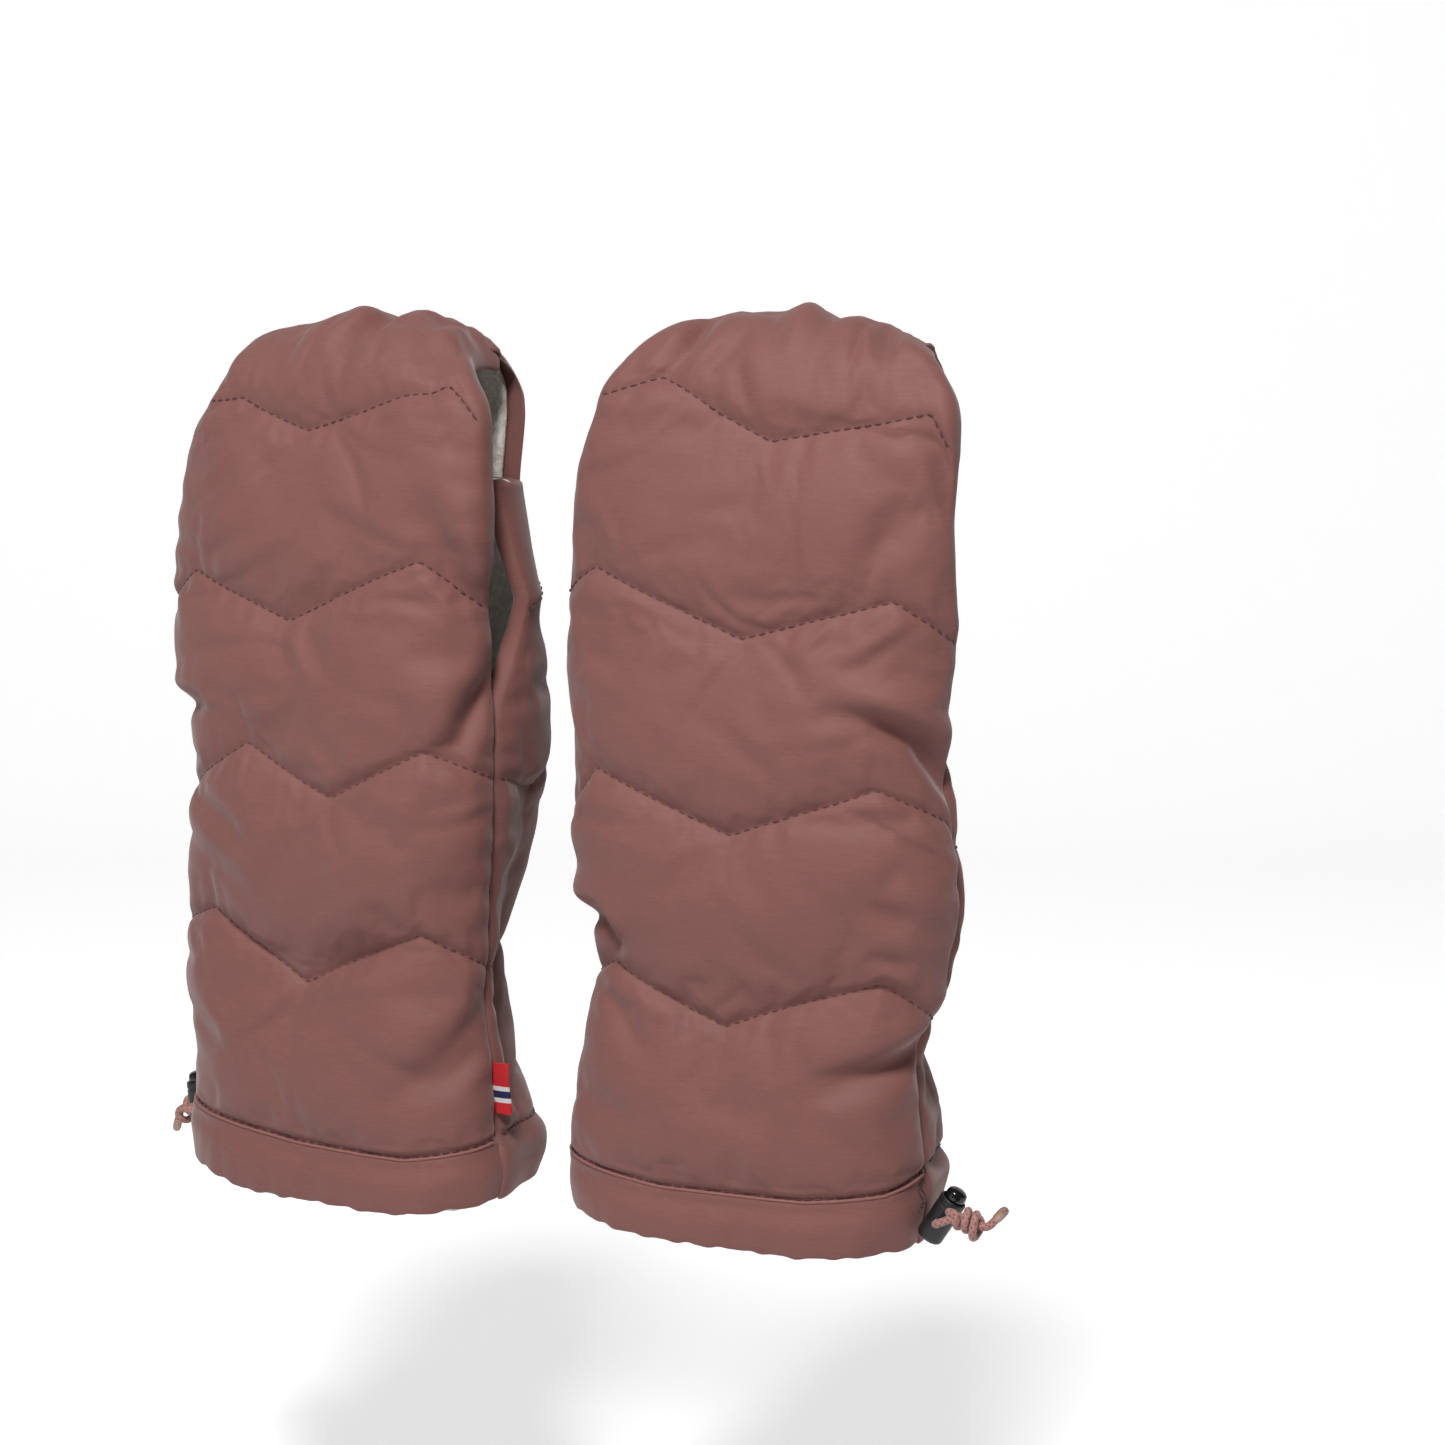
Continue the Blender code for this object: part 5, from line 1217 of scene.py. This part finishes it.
def back_columns():
    """Shares across the back and, beyond 1, across its side panels."""
    side = np.linspace(1, 2, SIDE_COLUMNS)[1:]
    return np.concatenate([-side[::-1], np.linspace(-1, 1, BACK_COLUMNS), side])


def back_lengths(share, rises):
    """Arc from the back's middle to shares across."""
    _, _, length, side = back_parts(rises)
    size = np.abs(share)
    return np.sign(share) * (np.minimum(size, 1) * length + np.maximum(size - 1, 0) * side)


def back_grid(muff):
    """The back's surfaces, as front_grid gives the front's."""
    share = back_columns()
    front_share = np.sign(share) * np.minimum(np.abs(share), 1.0)
    seam = np.where(share < 0, -1.0, 1.0)
    hem = muff.table(muff.hem, seam)
    lines = [muff.back_low_edge(seam), hem]
    peak = QUILT_HALF / PANEL_HALF
    for number, points in enumerate(muff.lines[:3]):
        meet = muff.table(points, seam)
        lowest = HEM_DROP - QUILT_FIRST - 3 * QUILT_PITCH + number * QUILT_PITCH
        plain = lowest + QUILT_AMPLITUDE * chevron(front_share, peak)
        lines.append(plain + (meet - plain) * ease(np.abs(share) - 1.0))
    lines.append(np.full(len(share), BACK_LENGTH))
    rises, band, part = layout(lines, BACK_ROW)
    arc = back_lengths(share[None, :], rises)
    across, rise = muff.side * arc * TO_MM, rises * TO_MM
    reach = back_lengths(np.full_like(rises, 2.0), rises)
    edge = (reach - np.abs(arc)) * TO_MM
    stand = pillows(across, rise, lines, band, part, edge, [5.0, 3.6, 2.9, 2.9, 2.9, 2.8],
                    [0.0, 5.0, 5.2, 4.6, 0.6], 41 if muff.side > 0 else 53)
    in_band = band[:, None] == 0
    below = hem[None, :] * TO_MM - rise
    hem_stand = 3.7 + 2.6 * ease((below - 0.6) / 6) + 0.9 * np.sin(math.pi * part[:, None]) ** 0.7
    hem_stand = hem_stand - 0.5 * fade(edge / 4)
    stand = np.where(in_band, hem_stand, stand + 0.55 * bell((below + 2.0) / 1.1))
    flat = ease((BACK_LENGTH * TO_MM - rise - 42) / 16)
    stand = np.where(in_band, stand, 2.8 + (stand - 2.8) * flat)
    opening = open_zone(rises) * ease((np.abs(share)[None, :] - 1.20) / 0.08)
    stand, inner = settled(stand, in_band, edge, rise, opening)
    outer = muff.shaped(back_place(share, rises, stand * MM), share)
    within = muff.shaped(back_place(share, rises, inner * MM), share)
    uv = np.stack([arc + 0.3, rises], -1)
    return outer, within, uv, loose(rises, lines, edge, in_band) * flat, line_rows(band, part, 4)


def lining(muff, which, share, rises, put, back_share=None):
    """Pile lining: a thin slab with a curly inner face."""
    arc = share * 0.075
    x, y = arc * TO_MM, rises * TO_MM
    lumps = 0.55 * wobble(x, y, 5.5, 71) + 0.45 * wobble(x, y, 3.4, 73)
    near = (1 - np.abs(share) / np.abs(share).max(-1, keepdims=True)) * 75
    lumps = lumps * ease(near / 3)
    outer = muff.world(muff.shaped(put(share, rises, -PILE_TOP), back_share))
    inner = muff.world(muff.shaped(put(share, rises, -PILE_DEPTH + PILE_LUMP * lumps), back_share))
    uv = np.stack([arc + 0 * rises, rises], -1)
    cloth, _ = pad(f"{muff.name}_{which}_pile", outer, inner, uv, PILE, 0.3)
    dress(cloth, muff.name + "_muff", "lining", f"{muff.name}_{which}_lining")


def linings(muff):
    """The front's pile, which peeks out a little under the hem, and the back's."""
    inset = 0.0004
    share = np.linspace(-0.995, 0.995, 67)
    bottom = muff.low_edge(share) + inset - MM * np.interp(muff.side * share, *zip(*muff.peek))
    t = np.linspace(0, 1, 150)[:, None]
    rises = bottom + (FRONT_LENGTH - inset - bottom) * t
    lining(muff, "front", share * (1 - 0.215 * open_zone(rises)), rises, front_place)
    sides = np.linspace(1, 1.99, 11)[1:]
    share = np.concatenate([-sides[::-1], np.linspace(-1, 1, BACK_COLUMNS), sides])
    bottom = muff.back_low_edge(np.where(share < 0, -1.0, 1.0)) + inset
    t = np.linspace(0, 1, 116)[:, None]
    rises = bottom + (BACK_LENGTH - inset - bottom) * t
    inward = 1 - 0.41 * open_zone(rises) * ease(np.abs(share) - 0.7)
    lining(muff, "back", share * inward, rises, back_place, share)


def casing(muff):
    """The hem's inner casing round the drawcord, a folded strip that is open upwards."""
    share = np.linspace(0.955, -1, 70)
    back = np.concatenate([-np.linspace(1.97, 1, 12)[:-1], np.linspace(-1, 1, BACK_COLUMNS),
                           np.linspace(1, 1.83, 9)[1:]])
    low_front = muff.low_edge(share) + 0.0011
    low_back = muff.back_low_edge(np.where(back < 0, -1.0, 1.0)) + 0.0009
    layers = []
    for stand, up in CASING_PROFILE:
        front_rise = low_front + (CASING_TOP - low_front) * up
        back_rise = low_back + (CASING_TOP - low_back) * up
        front_line = muff.shaped(front_place(share, front_rise, stand))
        layers.append(np.vstack([front_line, muff.shaped(back_place(back, back_rise, stand), back)]))
    points = muff.world(np.array(layers))
    rows, columns = points.shape[:2]
    faces = grid_faces(rows, columns).tolist()
    index = np.arange(rows * columns).reshape(rows, columns)
    faces += np.stack([index[-1, :-1], index[-1, 1:], index[0, 1:], index[0, :-1]], -1).tolist()
    faces += [index[:, 0][::-1].tolist(), index[:, -1].tolist()]
    travel = travelled(points[0])
    uv = np.stack(np.broadcast_arrays(travel[None, :], np.linspace(0, 0.03, rows)[:, None]), -1)
    strip = add_mesh(muff.name + "_hem_casing", points, faces, INNER_CLOTH, uv)
    dress(strip, muff.name + "_muff", "channel", muff.name + "_hem_channel")


def flap_for(muff):
    """The flap at the back: a lightly padded cover and its pile, on the flap's own body."""
    name, body = muff.name, muff.name + "_flap"
    share = np.linspace(-1, 1, FLAP_COLUMNS)
    run = np.linspace(HINGE_SEAM, FLAP_LENGTH, FLAP_ROWS)[:, None] + 0 * share[None, :]
    corner = FLAP_CORNER * np.clip(np.abs(share) - 0.72, 0, 1) ** 2 / 0.28 ** 2
    run = HINGE_SEAM + (run - HINGE_SEAM) * (1 - corner[None, :] / FLAP_LENGTH)
    length, _ = flap_parts(run)
    across, down = share[None, :] * length * TO_MM, run * TO_MM
    beside = (1 - np.abs(share[None, :])) * length * TO_MM
    edge = np.minimum(beside, (FLAP_LENGTH - corner[None, :]) * TO_MM - down)
    puff = 1.5 + 1.7 * (1 - fade(edge / 3.0)) + 0.35 * wobble(across, down, 26, 61)
    puff = puff - 0.9 * bell((edge - 6.5) / 1.2)
    puff = np.maximum(puff * ease(edge + 0.55), 0.9)
    puff = 1.3 + (puff - 1.3) * ease(down / 6)
    outer = muff.world(muff.shaped(flap_place(share, run, SEAM_GAP + puff * MM)))
    inner = muff.world(muff.shaped(flap_place(share, run, SEAM_GAP)))
    uv = np.stack([share[None, :] * length + 0.7, run], -1)
    cover, _ = pad(name + "_flap_cover", outer, inner, uv, SHELL_CLOTH, 0.3)
    subdivide(cover)
    dress(cover, body, "shell", name + "_flap_shell")
    lumps = 0.5 * wobble(across, down, 5.5, 75) + 0.5 * wobble(across, down, 3.4, 77)
    depth = -SEAM_GAP - FLAP_PILE + FLAP_LUMP * lumps * ease(edge / 3)
    outer_pile = muff.world(muff.shaped(flap_place(share * FLAP_PILE_SHARE, run, -SEAM_GAP)))
    inner_pile = muff.world(muff.shaped(flap_place(share * FLAP_PILE_SHARE, run, depth)))
    pile, _ = pad(name + "_flap_pile", outer_pile, inner_pile, uv, PILE, 0.3)
    dress(pile, body, "lining", name + "_flap_lining")
    normal = unit(-np.cross(np.gradient(outer, axis=1), np.gradient(outer, axis=0)) * muff.side)
    low, last = FLAP_ROWS - 5, FLAP_COLUMNS - 4
    lines = []
    for cells in ([(r, 3) for r in range(3, low)], [(low, c) for c in range(3, last + 1)],
                  [(r, last) for r in range(3, low)]):
        index = tuple(np.array(cells).T)
        lines.append((outer[index], normal[index]))
    stitches(name + "_flap_stitches", body, lines)
    flap_seam(muff)


def flap_seam(muff):
    """The strip of cloth over the seam, from the front's crest round onto the flap."""
    share = np.linspace(-0.99, 0.99, 60)
    arc = np.linspace(-SEAM_HALF, SEAM_HALF, 9)
    strip, low = [], []
    for a in arc:
        stand = FLAT_STACK + 0.0006 + 0.0007 * math.cos(a / SEAM_HALF * math.pi / 2)
        if a <= 0:
            strip.append(front_place(share, FRONT_LENGTH + a, stand))
            low.append(front_place(share, FRONT_LENGTH + a, 0.0022))
        else:
            strip.append(flap_place(share, a, stand - FLAT_STACK + SEAM_GAP + 0.0012))
            low.append(flap_place(share, a, 0.0006))
    strip, low = muff.world(muff.shaped(np.array(strip))), muff.world(muff.shaped(np.array(low)))
    uv = np.stack(np.broadcast_arrays(share[None, :] * 0.04, arc[:, None]), -1)
    seam, _ = pad(muff.name + "_flap_seam", strip, low, uv, SHELL_CLOTH, 0.4)
    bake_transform(seam)


def normals_at(grid, centre):
    """Normals of a grid of points, away from a centre."""
    normal = unit(np.cross(np.gradient(grid, axis=1), np.gradient(grid, axis=0)))
    flip = np.sign(((grid - centre) * normal).sum(-1).mean())
    return normal * flip


def quilting(muff, which, quilt, outer, pick):
    """Thread on the quilting lines and on the hem, laid on the settled cloth."""
    points = np.zeros(len(quilt.data.vertices) * 3)
    quilt.data.vertices.foreach_get("co", points)
    grid = points.reshape(-1, 3)[: outer.shape[0] * outer.shape[1]].reshape(outer.shape)
    normal = normals_at(grid, muff.world(np.array([0.0, 0.0, -0.13])))
    lines = [(grid[row, 1:-1], normal[row, 1:-1]) for row in pick[1:]]
    stitches(f"{muff.name}_{which}_stitches", muff.name + "_muff", lines)
    lines = [(grid[pick[0], 1:-1], normal[pick[0], 1:-1])]
    stitches(f"{muff.name}_{which}_hem_stitches", muff.name + "_muff", lines, offset=HEM_THREAD_OFFSET)
    if which == "front":
        hem_details(muff, grid, normal, pick[0])


def hem_details(muff, grid, normal, row):
    """The folded edge under the hem's stitches, and the bartack where the cord comes out."""
    fold = grid[row - 1, 2:-2] * 0.9 + grid[row, 2:-2] * 0.1 + normal[row - 1, 2:-2] * 0.0001
    # The fold's cloth is painted lighter than the shell, a painted highlight on the folded edge.
    edge = tube(muff.name + "_hem_fold", rounded(fold, 0.0012), FOLD_RADIUS, LIT_FOLD_CLOTH, 10)
    dress(edge, muff.name + "_muff", "shell")
    tack = []
    for lane in (0, 1):
        cells = [(row - k, -2 - lane - k % 2) for k in range(6)]
        index = tuple(np.array(cells).T)
        tack.append((grid[index], normal[index]))
    stitches(muff.name + "_bartack", muff.name + "_muff", tack, length=TACK, gap=TACK_GAP)


for muff in MUFFS:
    quilt_of(muff, "front", *front_grid(muff))
    quilt_of(muff, "back", *back_grid(muff))
    linings(muff)
    casing(muff)
    flap_for(muff)


# Small pieces
def seat_for(muff, side):
    """The studs' place on the back and the way that they face."""
    rise = HEM_DROP - SNAP_DROP
    _, _, length, _ = back_parts(np.array(rise))
    run = FLAP_BEND + float(flap_line(FLAP_BEND)[1]) + SNAP_DROP
    flap_length, _ = flap_parts(np.array(run))
    share = side * SNAP_SHARE * float(flap_length) / float(length)
    point = back_place(share, rise, FLAT_STACK)
    angle = math.pi / 2 * abs(share) ** 3
    out = np.array([side * math.sin(angle), math.cos(angle), 0.0])
    right = np.array([out[1], -out[0], 0.0])
    matrix = np.eye(4)
    for column, way in enumerate((right, np.cross(out, right), out)):
        matrix[:3, column] = muff.direction(way)
    matrix[:3, 3] = muff.world(point)
    return matrix


def studs(muff):
    """Press studs on the back, and their sockets and outer caps on the flap."""
    tip, flange = SNAP_SPACE - SNAP_EASE, 0.0009
    low, seat = tip - 0.0013, SNAP_SPACE + 3 * SEAM_GAP
    high = SNAP_SPACE + FLAP_LINING + 2 * SEAM_GAP + 0.0026
    stud = [(0, tip), (0.0011, tip), (0.00155, tip - 0.00015), (0.0019, tip - 0.0005), (0.0019, tip - 0.0008),
            (0.0016, tip - 0.0011), (0.0016, flange + 0.0002), (0.0019, flange), (0.0036, flange),
            (0.0039, flange - 0.0001), (0.0040, flange - 0.0003), (0.0040, SEAM_GAP), (0, SEAM_GAP)]
    socket = [(0, seat), (0.0045, seat), (0.0045, low + 0.0002), (0.0043, low), (0.0029, low),
              (0.0026, low + 0.0001), (0.0025, low + 0.0003), (0.0025, tip + 0.0001), (0, tip + 0.0001)]
    cap = [(0, high + 0.0011), (0.0022, high + 0.0010), (0.0038, high + 0.0007), (0.0046, high + 0.0003),
           (0.0050, high - 0.0002), (0.0050, high - 0.0008), (0.0046, high - 0.0011), (0, high - 0.0011)]
    for label, side in (("inner", -1), ("outer", 1)):
        name = f"{muff.name}_{label}"
        matrix = seat_for(muff, side)
        for piece, profile, body, nodes in (("press_stud", stud, "_muff", [name + "_snap_stud"]),
                                            ("press_socket", socket, "_flap", [name + "_snap_socket"]),
                                            ("stud_cap", cap, "_flap", [])):
            obj = turned(f"{name}_{piece}", profile, matrix, METAL)
            soft_edges(obj, 40)
            dress(obj, muff.name + body, "press_stud", *nodes)


def woven_tab(muff):
    """A folded tab in the inner side seam, with its loop edge outwards."""
    drop, half_long, reach, thick = TAB_DROP, TAB_HALF, TAB_REACH, TAB_THICK
    widest = max(float(half_width(drop - half_long)), float(half_width(drop + half_long)))
    root = widest + FLAT_STACK + SEAM_GAP - 0.0016
    profile = [(0, 0.5), (0.3, 0.55), (0.6, 0.6), (0.85, 0.55), (0.97, 0.35), (1.0, 0.0), (0.97, -0.35),
               (0.85, -0.55), (0.6, -0.6), (0.3, -0.55), (0, -0.5)]
    rows = 25
    layers = []
    for t in np.linspace(-1, 1, rows):
        lean = 0.0007 * math.sin(2.2 * t) + 0.0006
        middle = float(front_edge(drop))
        layers.append([(-(root + (reach + 0.0016) * u), middle + v * thick * 2 + lean * u ** 2,
                        -drop - t * half_long - 0.0004 * u * t) for u, v in profile])
    points = muff.world(muff.shaped(np.array(layers)))
    faces = grid_faces(rows, len(profile)).tolist()
    index = np.arange(rows * len(profile)).reshape(rows, len(profile))
    faces += [index[0][::-1].tolist(), index[-1].tolist()]
    faces += np.stack([index[:-1, 0], index[:-1, -1], index[1:, -1], index[1:, 0]], -1).tolist()
    along, up = np.linspace(0, 1, len(profile))[None, :], np.linspace(1, 0, rows)[:, None]
    uv = np.stack(np.broadcast_arrays(along, up), -1)
    tab = add_mesh(muff.name + "_woven_tab", points, faces, TAB, uv)
    soft_edges(tab, 50)
    dress(tab, muff.name + "_muff", "tab", muff.name + "_side_tab")


for muff in MUFFS:
    studs(muff)
woven_tab(LEFT)

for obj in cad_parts.values():
    if not obj.hide_render:
        obj.data.materials.clear()
        obj.data.materials.append(METAL)


# Floor, backdrop and light
def backdrop():
    """A pale floor that runs up into a pale wall."""
    turn = [(math.sin(a), 1 - math.cos(a)) for a in np.linspace(0, math.pi / 2, 16)]
    line = [(-3.0, 0.0)] + [(1.6 + 0.6 * s, 0.6 * c) for s, c in turn] + [(2.2, 3.0)]
    back = np.array([LOOK[0], LOOK[1], 0.0]) / np.hypot(LOOK[0], LOOK[1])
    side = np.cross(back, [0.0, 0.0, 1.0])
    points = [AIM * [1, 1, 0] + back * d + side * s + np.array([0, 0, h - FLOOR_DROP])
              for d, h in line for s in (-4.0, 4.0)]
    faces = [(2 * k, 2 * k + 1, 2 * k + 3, 2 * k + 2) for k in range(len(line) - 1)]
    n = Nodes("pale_floor", Roughness=0.9, Specular_IOR_Level=0.1)
    n.shader.inputs["Base Color"].default_value = (0.80, 0.80, 0.80, 1.0)
    grain = n.noise(n.add("TexCoord").outputs["Object"], 35.0, 3.0, 0.5)
    n.rough(grain, 0.1, 0.85)
    rays = n.add("LightPath")
    seen = n.math("MAXIMUM", rays.outputs["Is Camera Ray"],
                  n.math("MAXIMUM", rays.outputs["Is Glossy Ray"], rays.outputs["Is Transmission Ray"]))
    glow = n.add("Emission", None, Color=(1, 1, 1, 1), Strength=n.part(seen, 0.62))
    both = n.add("AddShader")
    n.tree.links.new(n.shader.outputs[0], both.inputs[0])
    n.tree.links.new(glow.outputs[0], both.inputs[1])
    output = next(x for x in n.tree.nodes if x.type == "OUTPUT_MATERIAL")
    n.tree.links.new(both.outputs[0], output.inputs["Surface"])
    wall = add_mesh("backdrop", points, faces, n.material)


def lamp(name, place, target, size, power):
    """A round area light."""
    light = bpy.data.lights.new(name, "AREA")
    light.shape, light.size, light.energy = "DISK", size, power
    obj = bpy.data.objects.new(name, light)
    obj.location = place
    obj.rotation_euler = (Vector(target) - Vector(place)).to_track_quat("-Z", "Y").to_euler()
    bpy.context.scene.collection.objects.link(obj)


backdrop()
lamp("key_light", (0.30, -1.20, 1.35), (0.02, 0.0, -0.13), 0.5, 41.0)
lamp("fill_light", (-1.1, -1.6, 0.1), (0.0, 0.0, -0.13), 1.2, 2.5)
world = bpy.data.worlds.new("soft_world")
world.use_nodes = True
shade = world.node_tree.nodes["Background"]
rays = world.node_tree.nodes.new("ShaderNodeLightPath")
pick = world.node_tree.nodes.new("ShaderNodeMapRange")
pick.inputs["To Min"].default_value, pick.inputs["To Max"].default_value = 0.13, 1.0
world.node_tree.links.new(rays.outputs["Is Camera Ray"], pick.inputs["Value"])
world.node_tree.links.new(pick.outputs[0], shade.inputs["Strength"])
shade.inputs["Color"].default_value = (1.0, 1.0, 1.0, 1.0)
bpy.context.scene.world = world
bpy.context.scene.view_settings.view_transform = "Standard"
